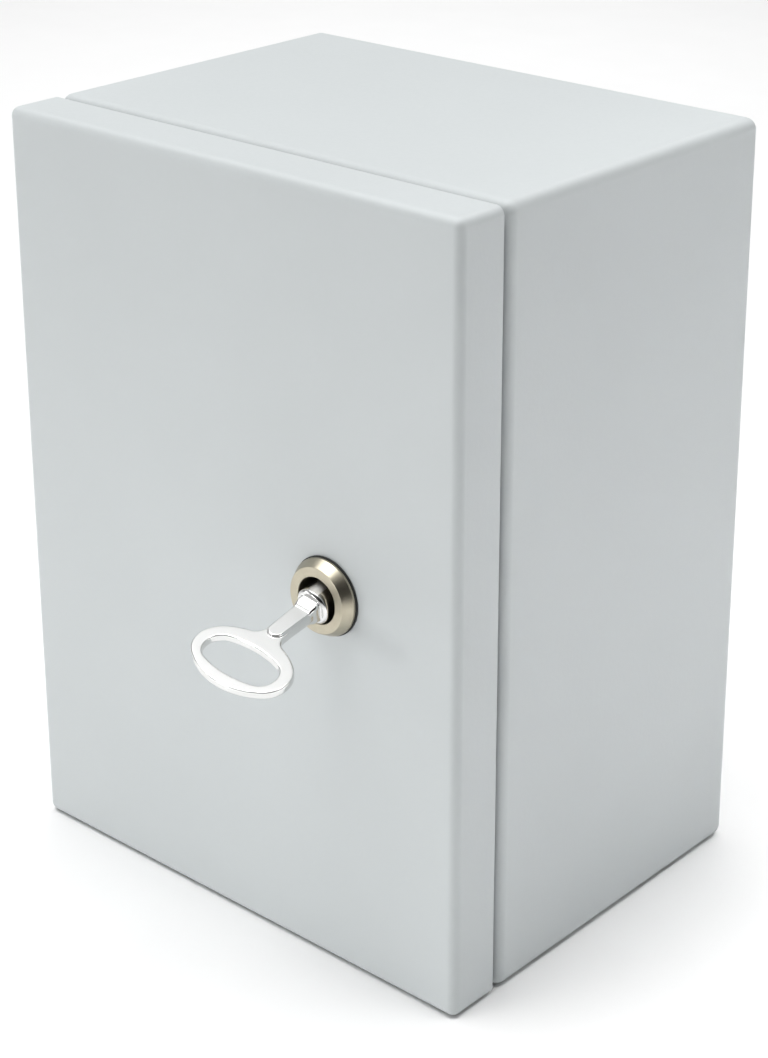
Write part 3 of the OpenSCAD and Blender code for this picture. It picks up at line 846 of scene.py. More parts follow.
class Assembly:
    """What the sub-assemblies share: putting a piece on its body and giving it a finish."""

    def dress(self, piece: bpy.types.Object, finish: Finish) -> None:
        """Gives a piece its finish."""
        piece.data.materials.clear()
        piece.data.materials.append(finish.material())

    def seat(self, piece: bpy.types.Object, body: Body, finish: Finish, node: str) -> bpy.types.Object:
        """Rides a piece on its body in place of its CAD node, with its finish.

        Args:
            piece: the new piece, in place.
            body: body that it moves with.
            finish: its finish.
            node: CAD node that it stands for.

        Returns:
            The piece.
        """
        self.dress(piece, finish)
        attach(piece, body.value)
        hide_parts(node)
        LOG.info("%s stands for %s on %s, %d faces", piece.name, node, body.value, len(piece.data.polygons))
        return piece


@dataclass(frozen=True)
class BodyShell(Assembly):
    """The welded box with its flange, its forward lip and the cuts in back and bottom."""

    width: float = 220.0
    height: float = 300.0
    depth: float = 145.5
    sheet: float = 1.2
    bend: float = 4.5
    flange: float = 26.68
    lip: float = 15.0
    lip_corner: float = 8.0
    lip_bend: float = 1.2
    cut_edge: float = 0.35
    hole_edge: float = 0.3
    wall_hole: float = 4.25
    wall_hole_at: Pair = (75.0, 115.0)
    entry: Triple = (110.0, 55.0, 5.0)

    def walls(self, skin: Skin) -> None:
        """Carries the folded section round the box: outside, flange and lip, then back along the inside.

        The bottom's two flat faces are left out, because the sheet with the cable entry closes them.

        Args:
            skin: mesh to add to.
        """
        b, s, d, front = self.bend, self.sheet, self.depth, self.depth + self.lip
        e, f = self.cut_edge, self.lip_bend
        outside = rounded([(-b, 0), (0, 0), (0, d), (-b, d)], [0, b, b, 0], False)
        lip = rounded([(f, d), (0, d), (0, front), (-s, front), (-s, d - s), (f, d - s)],
                      [0, f, e, e, f + s, 0], False)
        inside = rounded([(-b, d - s), (-s, d - s), (-s, s), (-b, s)], [0, b - s, b - s, 0], False)
        box = (self.width, self.height, b)
        opening = (self.width - 2 * self.flange, self.height - 2 * self.flange, self.lip_corner)
        rows = [frame_rows(box, outside), frame_rows(opening, lip), frame_rows(box, inside)]
        points, normals = (np.concatenate(part) for part in zip(*rows))
        bottom = 3 * RING_STEPS - 1
        inner_side = len(outside.points) + len(lip.points) + BEND_STEPS
        skin.grid(facing(0, 0, 0), points, normals, gaps=((BEND_STEPS, bottom), (inner_side, bottom)))

    def back(self, skin: Skin) -> None:
        """Adds the back sheet with its four wall holes, each a short turned wall with broken edges.

        Args:
            skin: mesh to add to.
        """
        e, s, r = self.hole_edge, self.sheet, self.wall_hole
        centres = four_corners(*self.wall_hole_at)
        wall = rounded([(r + 2 * e, s), (r, s), (r, 0), (r + 2 * e, 0)], [0, e, e, 0], False, EDGE_STEPS)
        for x, z in centres:
            revolve(skin, facing(x, 0, z), wall, HOLE_STEPS)
        square = np.array([self.width / 2 - self.bend, self.height / 2 - self.bend]) * CORNERS
        mouths = [circle(r + 2 * e, c).points for c in centres]
        for height, sign in ((0, -1), (s, 1)):
            skin.flat(facing(0, 0, 0), square, mouths, height, sign)

    def bottom(self, skin: Skin) -> None:
        """Adds the bottom sheet with the cable entry cut out of it.

        Args:
            skin: mesh to add to.
        """
        e, s, b = self.hole_edge, self.sheet, self.bend
        sheet = Basis((0, -self.depth / 2, -self.height / 2), (1, 0, 0), (0, -1, 0), (0, 0, 1))
        wall = rounded([(2 * e, s), (0, s), (0, 0), (2 * e, 0)], [0, e, e, 0], False, EDGE_STEPS)
        points, normals = frame_rows(self.entry, wall)
        skin.grid(sheet, points, normals)
        square = np.array([self.width / 2 - b, self.depth / 2 - b]) * CORNERS
        for height, sign in ((0, -1), (s, 1)):
            skin.flat(sheet, square, [points[0, :, :2]], height, sign)

    def build(self) -> None:
        """Builds and dresses the box."""
        skin = Skin()
        self.walls(skin)
        self.back(skin)
        self.bottom(skin)
        self.seat(skin.build("body_sheet"), Body.CABINET, POWDER_COAT, "body_shell")


@dataclass(frozen=True)
class Hinges(Assembly):
    """Two concealed hinges: a cranked bracket on the body, an eared bracket on the door and a pin."""

    axis: Pair = (-103.5, -157.28)
    heights: Pair = (89.8, -89.8)
    knuckle: float = 4.0
    knuckle_h: float = 16.0
    ear: float = 4.5
    ear_t: float = 3.0
    ear_z: float = 8.2
    plate: float = 2.5
    bore: float = 2.55
    leg: float = 12.33
    reach: float = 11.78
    foot_end: float = 19.68
    foot_h: float = 28.0
    base: Pair = (-2.8, 8.2)
    base_reach: float = 11.22
    base_short: float = 0.02
    inner_bends: Pair = (1.2, 0.8)
    corner: float = 0.4
    edge: float = 0.3
    ear_edge: float = 0.25
    foot_weld: Triple = (1.1, 0.4, 0.5)
    base_weld: Pair = (1.0, 0.4)
    base_weld_run: Pair = (8.0, 2.0)
    pin: float = 2.5
    pin_tail: float = 1.0
    pin_head: Pair = (4.0, 1.5)
    pin_rounds: Triple = (0.6, 0.2, 0.7)

    def body_bracket(self, z: float, place: str) -> None:
        """Builds the bracket on the flange: knuckle, crank and foot in one bent section, with two welds.

        Args:
            z: height of the hinge.
            place: end of the names.
        """
        skin = Skin()
        at = upright(*self.axis, z)
        k, p, leg, reach, end, c = self.knuckle, self.plate, self.leg, self.reach, self.foot_end, self.corner
        first, second = self.inner_bends
        meet = math.asin((k - p) / k)
        crank = rounded([(0, -k), (leg + p, -k), (leg + p, reach - p), (end, reach - p), (end, reach),
                         (leg, reach), (leg, p - k), (k * math.cos(meet), p - k)],
                        [0, p, first, c, c, p, second, 0], False, 6)
        loop = outline_of([Arc((0, 0), k, -math.degrees(meet), 270)], 36)
        half = self.knuckle_h / 2
        slab(skin, at, crank.joined(loop), [circle(self.bore).as_hole()], (-half, half), self.edge)
        half = self.foot_h / 2
        slab(skin, at, box_line((leg + p, reach - p), (end, reach), c, 4), [], (-half, half), self.edge)
        x, y = self.axis
        radius, inset, sink = self.foot_weld
        for level in (z - half, z + half):
            weld_bead(skin, (x + leg + p + inset, y + reach - sink, level),
                      (x + end - inset, y + reach - sink, level), radius)
        self.seat(skin.build(f"body_bracket_{place}"), Body.CABINET, ZINC_PLATE, f"body_hinge_{place}")

    def door_bracket(self, z: float, place: str) -> None:
        """Builds the bracket in the door: a base plate with an ear above and an ear below the knuckle.

        Args:
            z: height of the hinge.
            place: end of the names.
        """
        skin = Skin()
        at = upright(*self.axis, z)
        left, right = self.base
        down, low, high = -self.base_reach, self.ear_z, self.ear_z + self.ear_t
        foot = rounded([(left, down), (self.ear, down)], [0, 0], False)
        leave = 180 + math.degrees(math.acos(-left / self.ear))
        ear = foot.joined(outline_of([Arc((0, 0), self.ear, 0, leave)], 36))
        for span in ((low, high), (-high, -low)):
            slab(skin, at, ear, [circle(self.bore).as_hole()], span, self.ear_edge)
        plate = box_line((left, down), (right, down + self.plate), self.corner, 4)
        slab(skin, at, plate, [], (self.base_short - high, high - self.base_short), self.edge)
        x, y = self.axis
        radius, sink = self.base_weld
        for side in (-1, 1):
            start, end = ((x + right, y + down + sink, z + side * run) for run in self.base_weld_run)
            weld_bead(skin, start, end, radius)
        self.seat(skin.build(f"door_bracket_{place}"), Body.DOOR, ZINC_PLATE, f"door_hinge_{place}")

    def hinge_pin(self, z: float, place: str) -> None:
        """Builds the headed pin: its outline spun about the hinge's axis.

        Args:
            z: height of the hinge.
            place: end of the names.
        """
        skin = Skin()
        end, r = self.ear_z + self.ear_t, self.pin
        tail, (head, head_h), (tip, under, over) = -end - self.pin_tail, self.pin_head, self.pin_rounds
        line = rounded([(0, tail), (r, tail), (r, end), (head, end), (head, end + head_h), (0, end + head_h)],
                       [0, tip, 0, under, over, 0], False, 6)
        revolve(skin, upright(*self.axis, z), line, 40)
        self.seat(skin.build(f"headed_pin_{place}"), Body.DOOR, BRIGHT_ZINC, f"hinge_pin_{place}")

    def build(self) -> None:
        """Builds and dresses both hinges."""
        for z, place in zip(self.heights, ("upper", "lower")):
            self.body_bracket(z, place)
            self.door_bracket(z, place)
            self.hinge_pin(z, place)


@dataclass(frozen=True)
class Fastening:
    """A stud's stack of fasteners: sizes that follow from the thread."""

    thread: float
    pitch: float
    stack: float
    past_nut: float = 2.0
    hole_play: float = 0.2
    nut_play: float = 0.05
    washer_share: float = 0.2
    nut_shares: Pair = (1.7, 0.8)

    @property
    def hole(self) -> float:
        """Radius of the holes that the stud goes through."""
        return self.thread / 2 + self.hole_play

    @property
    def washer_t(self) -> float:
        """Thickness of the washer."""
        return self.washer_share * self.thread

    def stud(self, skin: Skin, at: Basis) -> None:
        """Adds the threaded stud: as long as stack, washer and nut, and a little past the nut."""
        stud(skin, at, self.thread / 2, self.pitch, self.stack + self.thread + self.past_nut)

    def washer(self, skin: Skin, at: Basis) -> None:
        """Adds the washer."""
        washer(skin, at, self.thread, self.hole, self.washer_t)

    def nut(self, skin: Skin, at: Basis) -> None:
        """Adds the nut."""
        across, height = self.nut_shares
        hex_nut(skin, at, across * self.thread, self.thread / 2 + self.nut_play, height * self.thread)


@dataclass(frozen=True)
class MountingPlate(Assembly):
    """Galvanised plate on four studs with spacers, washers and nuts."""

    width: float = 156.24
    height: float = 200.0
    sheet: float = 2.0
    corner: float = 4.0
    edge: float = 0.3
    stud_inset: float = 10.0
    standoff: float = 10.0
    body_sheet: float = 1.2
    spacer: float = 5.5
    spacer_edge: float = 0.4
    fastening: Fastening = Fastening(6.0, 1.0, 12.0)

    def build(self) -> None:
        """Builds and dresses the plate and its fasteners."""
        w, h, fast, back = self.width / 2, self.height / 2, self.fastening, self.body_sheet
        corners = four_corners(w - self.stud_inset, h - self.stud_inset)
        front = back + self.standoff + self.sheet
        plate, studs, spacers, washers, nuts = (Skin() for _ in range(5))
        slab(plate, facing(0, 0, 0), box_line((-w, -h), (w, h), self.corner),
             [circle(fast.hole, c, 32).as_hole() for c in corners], (front - self.sheet, front), self.edge)
        tube = box_line((fast.hole, 0), (self.spacer, self.standoff), self.spacer_edge)
        for x, z in corners:
            fast.stud(studs, facing(x, back, z))
            revolve(spacers, facing(x, back, z), tube, 40)
            fast.washer(washers, facing(x, front, z))
            fast.nut(nuts, facing(x, front + fast.washer_t, z))
        self.seat(plate.build("device_plate"), Body.CABINET, GALVANISED, "mounting_plate")
        for skin, name, node in ((studs, "threads", "studs"), (spacers, "tubes", "spacers"),
                                 (washers, "rings", "washers"), (nuts, "hex_nuts", "nuts")):
            self.seat(skin.build(f"plate_{name}"), Body.CABINET, BRIGHT_ZINC, f"plate_{node}")


@dataclass(frozen=True)
class CableEntry(Assembly):
    """Blank cover over the cable entry in the bottom, on its gasket and four studs."""

    cut: Triple = (110.0, 55.0, 5.0)
    overlap: float = 12.0
    sheet: float = 1.5
    edge: float = 0.3
    gasket: float = 2.0
    gasket_edge: float = 0.2
    floor: float = -148.8
    y: float = -72.75
    fastening: Fastening = Fastening(5.0, 0.8, 3.5)

    def outline(self, grow: float) -> Profile:
        """Rounded rectangle of the cut, grown on every side, seen from above."""
        w, d = self.cut[0] / 2 + grow, self.cut[1] / 2 + grow
        return box_line((-w, -d), (w, d), self.cut[2])

    def build(self) -> None:
        """Builds and dresses the cover, its gasket and its fasteners."""
        fast = self.fastening
        corners = four_corners(self.cut[0] / 2 + self.overlap / 2, self.cut[1] / 2 + self.overlap / 2)
        holes = [circle(fast.hole, c, 32).as_hole() for c in corners]
        at, outer = upright(0, self.y, self.floor), self.outline(self.overlap)
        top = self.gasket + self.sheet
        seal, cover, studs, washers, nuts = (Skin() for _ in range(5))
        slab(seal, at, outer, [self.outline(0).as_hole(), *holes], (0, self.gasket), self.gasket_edge)
        slab(cover, at, outer, holes, (self.gasket, top), self.edge)
        for x, y in corners:
            fast.stud(studs, upright(x, self.y + y, self.floor))
            fast.washer(washers, upright(x, self.y + y, self.floor + top))
            fast.nut(nuts, upright(x, self.y + y, self.floor + top + fast.washer_t))
        for skin, name, finish, node in ((seal, "seal", RUBBER, "gasket"),
                                         (cover, "blank", POWDER_COAT, "cover"),
                                         (studs, "threads", BRIGHT_ZINC, "studs"),
                                         (washers, "rings", BRIGHT_ZINC, "washers"),
                                         (nuts, "hex_nuts", BRIGHT_ZINC, "nuts")):
            self.seat(skin.build(f"entry_{name}"), Body.CABINET, finish, f"entry_{node}")


@dataclass(frozen=True)
class EarthPoints(Assembly):
    """Brass earthing studs, one in the bottom of the body and one inside the door."""

    body_at: Triple = (88.0, -72.75, -148.8)
    door_at: Triple = (-40.0, -168.5, -95.0)
    fastening: Fastening = Fastening(6.0, 1.0, 8.0)

    def point(self, foot: Basis, nut_seat: Basis, body: Body, name: str, node: str) -> None:
        """Builds one earthing point.

        Args:
            foot: local frame at the stud's foot, with the stud on its third axis.
            nut_seat: the same frame, moved up onto the washer.
            body: body that carries it.
            name: start of the pieces' names.
            node: start of the CAD nodes' names.
        """
        threads, ring, nut = Skin(), Skin(), Skin()
        self.fastening.stud(threads, foot)
        self.fastening.washer(ring, foot)
        self.fastening.nut(nut, nut_seat)
        self.seat(threads.build(f"{name}_thread"), body, BRASS, f"{node}_stud")
        self.seat(ring.build(f"{name}_ring"), body, BRIGHT_ZINC, f"{node}_washer")
        self.seat(nut.build(f"{name}_hex_nut"), body, BRASS, f"{node}_nut")

    def build(self) -> None:
        """Builds and dresses both earthing points: the body's stands up, the door's points to the back."""
        lift = self.fastening.washer_t
        x, y, z = self.body_at
        self.point(upright(x, y, z), upright(x, y, z + lift), Body.CABINET, "body_earth", "earth")
        x, y, z = self.door_at
        foot, nut_seat = (Basis((x, y + up, z), (1, 0, 0), (0, 0, -1), (0, 1, 0)) for up in (0, lift))
        self.point(foot, nut_seat, Body.DOOR, "door_bond", "door_earth")


@dataclass(frozen=True)
class DoorPan(Assembly):
    """The folded door pan with its foam gasket."""

    width: float = 220.0
    height: float = 299.6
    front: float = 170.0
    depth: float = 22.0
    sheet: float = 1.5
    bend: float = 3.5
    cut_edge: float = 0.45
    lock_at: Pair = (50.0, 0.0)
    lock_hole: Pair = (11.2, 10.2)
    gasket: Triple = (174.88, 254.88, 12.15)
    gasket_w: float = 9.5
    gasket_t: float = 7.7
    foam_power: float = 2.6
    groove: Pair = (0.35, 0.9)

    def pan(self, skin: Skin) -> None:
        """Carries the section of front, bend, return and cut edge round the door, and closes both faces.

        The lock's hole is a circle r (cos t, sin t) clipped by two flats.

        Args:
            skin: mesh to add to.
        """
        b, s, e, f = self.bend, self.sheet, self.cut_edge, self.front
        rear = f - self.depth
        section = rounded([(-b, f - s), (-s, f - s), (-s, rear), (0, rear), (0, f), (-b, f)],
                          [0, b - s, e, e, b, 0], False)
        view = facing(0, 0, 0)
        skin.grid(view, *frame_rows((self.width, self.height, b), section))
        r, flat = self.lock_hole
        hole = (r * around(full_turn(64))).clip((-flat, -r), (flat, r)) + np.array(self.lock_at)
        square = np.array([self.width / 2 - b, self.height / 2 - b]) * CORNERS
        for height, sign in ((f, 1), (f - s, -1)):
            skin.flat(view, square, [hole], height, sign)
        wall = with_height(np.stack([hole, hole]), np.array([f - s, f])[:, None, None])
        inward = np.pad(unit(np.array(self.lock_at) - hole), ((0, 0), (0, 1)))
        skin.grid(view, wall, np.broadcast_to(inward, wall.shape))

    def foam(self, skin: Skin) -> None:
        """Adds the foam bead, with the faint groove that the lip presses into it.

        Across the band, at u from -1 to 1, it rises by t (1 - |u|^p)^(1 / p), a superellipse, less the
        groove's depth times exp(-(distance / width)^2).

        Args:
            skin: mesh to add to.
        """
        across = np.sin(np.linspace(-math.pi / 2, math.pi / 2, 41))
        half, power = self.gasket_w / 2, self.foam_power
        rise = self.gasket_t * (1 - np.abs(across) ** power) ** (1 / power)
        groove = self.groove[0] * np.exp(-(across * half / self.groove[1]) ** 2)
        line = np.stack([half * across - half, self.front - self.sheet - rise + groove], -1)
        step = np.gradient(line, axis=0)
        section = Profile(line, unit(np.stack([step[:, 1], -step[:, 0]], -1)))
        skin.grid(facing(0, 0, 0), *frame_rows(self.gasket, section), (True, True))

    def build(self) -> None:
        """Builds and dresses the pan and its gasket."""
        pan, foam = Skin(), Skin()
        self.pan(pan)
        self.foam(foam)
        self.seat(pan.build("door_sheet"), Body.DOOR, POWDER_COAT, "door_panel")
        bead = self.seat(foam.build("foam_bead"), Body.DOOR, FOAM, "door_gasket")


@dataclass(frozen=True)
class CamLock(Assembly):
    """Round cam lock: turned head, threaded barrel with flats, seal, nut, core, cam and screw.

    The recess is 0.05 mm deeper than the solid's, so that its floor and the core don't lie in one plane.
    """

    at: Triple = (50.0, 170.0, 0.0)
    segments: int = 96
    seal: Triple = (15.0, 11.2, 0.8)
    seal_rounds: Pair = (0.1, 0.3)
    head: float = 14.6
    rim: float = 1.0
    face: float = 12.5
    head_h: float = 5.6
    head_rounds: tuple[float, ...] = (0.25, 0.3, 0.4, 0.45, 0.3, 0.3)
    recess: float = 8.75
    recess_depth: float = 8.05
    barrel: float = 11.0
    flats: float = 10.0
    thread: float = 1.5
    thread_depth: float = 0.9
    back: float = -27.5
    bore: float = 6.05
    nut_af: float = 28.0
    nut_t: float = 5.0
    nut_play: float = 0.05
    door_sheet: float = 1.5
    cam_w: float = 20.0
    cam_t: float = 2.5
    cam_reach: float = 46.12
    cam_front: float = -27.7
    cam_edge: float = 0.35
    square: float = 4.05
    square_round: float = 0.3
    cam_washer: Triple = (7.16, 2.7, 1.2)
    screw_head: Pair = (4.25, 3.0)
    screw_edge: float = 0.5
    screw_shank: Pair = (2.4, 10.0)
    socket: float = 2.0
    socket_edge: float = 0.2
    socket_tip: float = 0.3

    @property
    def screw_foot(self) -> float:
        """Depth at which the screw's head sits on its washer."""
        return self.cam_front - self.cam_t - self.cam_washer[2]

    def housing(self, skin: Skin) -> None:
        """Spins head, recess and bore about the axis, then adds the threaded barrel with its two flats.

        Args:
            skin: mesh to add to.
        """
        at, seal, deep = facing(*self.at), self.seal[2], -self.recess_depth
        line = rounded([(self.barrel, seal), (self.head, seal), (self.head, seal + self.rim),
                        (self.face, self.head_h), (self.recess, self.head_h), (self.recess, deep),
                        (self.bore, deep), (self.bore, self.back)], [0, *self.head_rounds, 0], False, 7)
        revolve(skin, at, line, self.segments)
        points, normals = thread_rows(self.barrel, self.thread_depth, self.thread, (self.back, seal),
                                      self.segments, self.flats)
        skin.grid(at, points, normals)
        ring = around(full_turn(self.segments))
        for row, radius, height in ((0, self.bore, self.back), (-1, self.barrel, seal)):
            rim = np.stack([points[row], with_height(radius * ring[None], height)[0]])
            skin.grid(at, rim, np.broadcast_to([0.0, 0.0, -1.0], rim.shape))

    def cam(self, skin: Skin) -> None:
        """Adds the cam plate: a round eye with a square hole and an arm with round corners.

        Args:
            skin: mesh to add to.
        """
        r, reach, corner, q = self.cam_w / 2, self.cam_reach, self.cam_w / 4, self.square
        outer = outline_of([Arc((0, 0), r, 0, 180), Arc((corner - r, corner - reach), corner, 180, 270),
                            Arc((r - corner, corner - reach), corner, 270, 360)])
        hole = box_line((-q, -q), (q, q), self.square_round, 4).as_hole()
        span = (self.cam_front - self.cam_t, self.cam_front)
        slab(skin, facing(*self.at), outer, [hole], span, self.cam_edge)

    def screw(self, skin: Skin) -> None:
        """Adds the socket screw: shank and head spun about the axis, with a hexagon sunk into the head.

        The rows go from the shank's end up the head and down into the socket, whose radius at the turn t is
        a / cos(t mod 60 - 30 degrees). Each pair of rows has its own normals, so that the edges are sharp.

        Args:
            skin: mesh to add to.
        """
        (r, h), (shank, length), e = self.screw_head, self.screw_shank, self.screw_edge
        t = full_turn(72)
        hexagon = self.socket / np.cos(t % (math.pi / 3) - math.pi / 6)
        turn = np.radians(np.linspace(0, 90, 6))
        rows = [(shank, -length), (shank, 0), (r, 0)]
        rows += list(zip(r - e + e * np.cos(turn), h - e + e * np.sin(turn)))
        rows += [(hexagon + self.socket_edge, h), (hexagon, h - self.socket_edge), (hexagon, h / 2),
                 (0, h / 2 - self.socket_tip)]
        radii, heights = (np.array([value + 0 * t for value in column]) for column in zip(*rows))
        points = np.stack([radii * np.cos(t), radii * np.sin(t), heights], -1)
        along = np.roll(points, -1, 1) - np.roll(points, 1, 1)
        pairs = np.stack([points[:-1], points[1:]], 1).reshape(-1, *points.shape[1:])
        step = np.repeat(points[1:] - points[:-1], 2, axis=0)
        side = np.repeat(along[:-1] + along[1:], 2, axis=0)
        down = Basis((self.at[0], -self.at[1] - self.screw_foot, self.at[2]), (1, 0, 0), (0, 0, 1), (0, 1, 0))
        skin.grid(down, pairs, unit(np.cross(side, step)))

    def build(self) -> None:
        """Builds and dresses the lock."""
        x, depth, z = self.at
        seal, housing, nut, cam, ring, screw = (Skin() for _ in range(6))
        (outer, inner, t), (small, large) = self.seal, self.seal_rounds
        revolve(seal, facing(*self.at), rounded([(inner, 0), (outer, 0), (outer, t), (inner, t)],
                                                [small, large, large, small], steps=6), self.segments)
        self.housing(housing)
        hex_nut(nut, facing(x, depth - self.door_sheet - self.nut_t, z), self.nut_af,
                self.barrel + self.nut_play, self.nut_t)
        self.cam(cam)
        washer(ring, facing(x, depth + self.screw_foot, z), *self.cam_washer)
        self.screw(screw)
        self.seat(seal.build("lock_ring_seal"), Body.DOOR, RUBBER, "lock_seal")
        self.seat(housing.build("lock_head"), Body.DOOR, SATIN_NICKEL, "lock_housing")
        self.seat(nut.build("lock_hex_nut"), Body.DOOR, ZINC_PLATE, "lock_nut")
        self.seat(cam.build("cam_plate"), Body.CORE, ZINC_PLATE, "lock_cam")
        self.seat(ring.build("cam_ring"), Body.CORE, BRIGHT_ZINC, "cam_washer")
        self.seat(screw.build("cam_socket_screw"), Body.CORE, BRIGHT_ZINC, "cam_screw")
        # The core's near-black colour is a painted shade that darkens the bottom of the key's recess
        self.dress(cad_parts["lock_core"], CORE_SHADE_ZINC)
        LOG.info("lock_core keeps its CAD shape on %s", Body.CORE.value)


@dataclass(frozen=True)
class DoubleBitKey(Assembly):
    """Cast key: slotted barrel, sloped root, ribbed stem and an oval bow, run together with soft fillets."""

    at: Triple = (50.0, 170.0, 0.0)
    droop: float = 12.5
    roll: float = 10.0
    barrel: float = 7.0
    mouth: float = -4.0
    shoulder: float = 8.4
    chamfer: float = 0.8
    shoulder_rounds: Pair = (0.25, 0.3)
    bore: float = 4.0
    bore_end: float = 3.6
    slot: float = 1.95
    slot_end: float = 1.2
    jaw_edge: float = 0.2
    lap: float = 0.3
    bow: Pair = (20.5, 13.5)
    bow_at: float = 43.5
    bow_end: float = 10.0
    bow_t: float = 3.0
    hole: Pair = (15.7, 7.9)
    hole_at: float = 44.3
    hole_end: float = 6.6
    stem: float = 4.1
    stem_round: float = 0.3
    throat: float = 5.0
    rib_t: float = 5.2
    rib: tuple[float, float, float, float] = (13.0, 26.0, 3.7, 3.1)
    rib_round: float = 0.6
    rib_edge: float = 0.4
    root: Pair = (4.5, 4.2)
    root_round: float = 1.6
    root_swell: Pair = (0.1, 0.28)
    root_end: Triple = (0.5, 0.2, 0.4)
    cast_edge: float = 0.5
    voxel: float = 0.22
    smoothing: int = 5

    @property
    def foot(self) -> float:
        """Height at which the shoulder's chamfer starts."""
        return self.shoulder - self.chamfer

    def bow_outline(self) -> Profile:
        """Draws bow and stem: the oval's arcs, a hollow throat arc on each side, and the straight stem.

        Returns:
            The closed outline.
        """
        reach, rise, meet = oval_shape(self.bow, self.bow_end)
        side = rise + self.bow[1]
        x, c, r = self.stem + self.throat, self.bow_at, self.stem_round
        drop = math.sqrt((side + self.throat) ** 2 - x ** 2)
        lean = math.degrees(math.atan2(drop, x))
        y = c + rise - drop
        return outline_of([
            Arc((self.stem - r, self.foot + r), r, 270, 360),
            Arc((x, y), self.throat, 180, 180 - lean, hollow=True),
            Arc((0, c + rise), side, -lean, -meet),
            Arc((reach, c), self.bow_end, -meet, meet),
            Arc((0, c - rise), side, meet, 180 - meet),
            Arc((-reach, c), self.bow_end, 180 - meet, 180 + meet),
            Arc((0, c + rise), side, 180 + meet, 180 + lean),
            Arc((-x, y), self.throat, lean, 0, hollow=True),
            Arc((r - self.stem, self.foot + r), r, 180, 270),
        ])

    def handle(self, skin: Skin) -> None:
        """Adds bow, rib and root, drawn with the key's axis on z and its flat side on x and z.

        The root's half sizes run straight from the shoulder's to the rib's, swollen by a half wave of sine.

        Args:
            skin: mesh to add to.
        """
        flat = Basis(u=(1, 0, 0), v=(0, 0, 1), w=(0, 1, 0))
        bow_hole = oval(self.hole, self.hole_end, (0, self.hole_at)).as_hole()
        slab(skin, flat, self.bow_outline(), [bow_hole], (-self.bow_t / 2, self.bow_t / 2), self.cast_edge)
        start, end, wide, narrow = self.rib
        foot, t, r = self.foot, self.rib_t / 2, self.rib_round
        lean = math.degrees(math.atan2(wide - narrow, end - foot))
        rib = outline_of([Arc((wide - r, foot + r), r, 270, 360 + lean),
                          Arc((0, end), narrow, lean, 180 - lean),
                          Arc((r - wide, foot + r), r, 180 - lean, 270)])
        slab(skin, flat, rib, [], (-t, t), self.rib_edge)
        end_round, draw, past = self.root_end
        s = np.linspace(0, 1, 6)[:, None]
        slope = ((1 - s) * [*self.root, self.root_round, self.shoulder + self.chamfer]
                 + s * [wide, t, end_round, start])
        slope[:, :2] += np.sin(math.pi * s) * self.root_swell
        loft(skin, Basis(), [(*self.root, self.root_round, foot), *slope,
                             (wide - draw, t - draw, self.rib_edge, start + past)])

    def shank(self, skin: Skin) -> None:
        """Adds the barrel: a closed cap, a sleeve round the bore, and two jaws beside the slot.

        Args:
            skin: mesh to add to.
        """
        r, shoulder, (low, high) = self.barrel, self.shoulder, self.shoulder_rounds
        cap = rounded([(0, self.bore_end), (r, self.bore_end), (r, self.foot), (r - self.chamfer, shoulder),
                       (0, shoulder)], [0, 0, low, high, 0], False, 5)
        revolve(skin, Basis(), cap, 96)
        sleeve = box_line((self.bore, self.slot_end), (r, self.bore_end + self.lap), 0, 2)
        revolve(skin, Basis(), sleeve, 96)
        a, b = (math.degrees(math.acos(self.slot / radius)) for radius in (r, self.bore))
        for turn in (0, 180):
            jaw = outline_of([Arc((0, 0), r, turn - a, turn + a),
                              Arc((0, 0), self.bore, turn + b, turn - b, hollow=True)])
            slab(skin, Basis(), jaw, [], (self.mouth, self.slot_end + self.lap), self.jaw_edge)

    def casting(self) -> bpy.types.Object:
        """Runs the blocks together: a voxel skin of their union, smoothed so that its edges get fillets.

        Each point's attribute for the finish is how far its normal lies along the flat sides' direction.

        Returns:
            The key in its place in the lock.
        """
        skin = Skin()
        self.handle(skin)
        self.shank(skin)
        rough = skin.build("key_blocks")
        melt = rough.modifiers.new("melt", "REMESH")
        melt.mode = "VOXEL"
        melt.voxel_size = self.voxel * MM
        soften = rough.modifiers.new("soften", "SMOOTH")
        soften.factor = 0.5
        soften.iterations = self.smoothing
        bpy.context.view_layer.update()
        mesh = bpy.data.meshes.new_from_object(rough.evaluated_get(bpy.context.evaluated_depsgraph_get()))
        bpy.data.objects.remove(rough)
        normals = np.empty(3 * len(mesh.vertices))
        mesh.vertex_normals.foreach_get("vector", normals)
        flatness = mesh.attributes.new(BRIGHT_NICKEL.flatness, "FLOAT", "POINT")
        flatness.data.foreach_set("value", np.abs(normals[1::3]))
        x, depth, z = self.at
        mesh.transform(Matrix.Translation((x * MM, -depth * MM, z * MM))
                       @ Matrix.Rotation(math.radians(90 + self.droop), 4, "X")
                       @ Matrix.Rotation(math.radians(-self.roll), 4, "Z"))
        mesh.shade_smooth()
        piece = bpy.data.objects.new("key_casting", mesh)
        bpy.context.scene.collection.objects.link(piece)
        return piece

    def build(self) -> None:
        """Builds and dresses the key."""
        self.seat(self.casting(), Body.KEY, BRIGHT_NICKEL, "key")


@dataclass(frozen=True)
class SoftBox:
    """One square studio light: place, aim and side in metres, spread in degrees."""

    name: str
    place: Triple
    aim: Triple
    side: float
    watts: float
    spread: float = 180.0

    def build(self) -> None:
        """Hangs the light and points it."""
        lamp = bpy.data.lights.new(self.name, "AREA")
        lamp.shape = "SQUARE"
        lamp.size = self.side
        lamp.energy = self.watts
        lamp.spread = math.radians(self.spread)
        holder = bpy.data.objects.new(self.name, lamp)
        holder.location = self.place
        holder.rotation_euler = (Vector(self.aim) - Vector(self.place)).to_track_quat("-Z", "Y").to_euler()
        bpy.context.scene.collection.objects.link(holder)


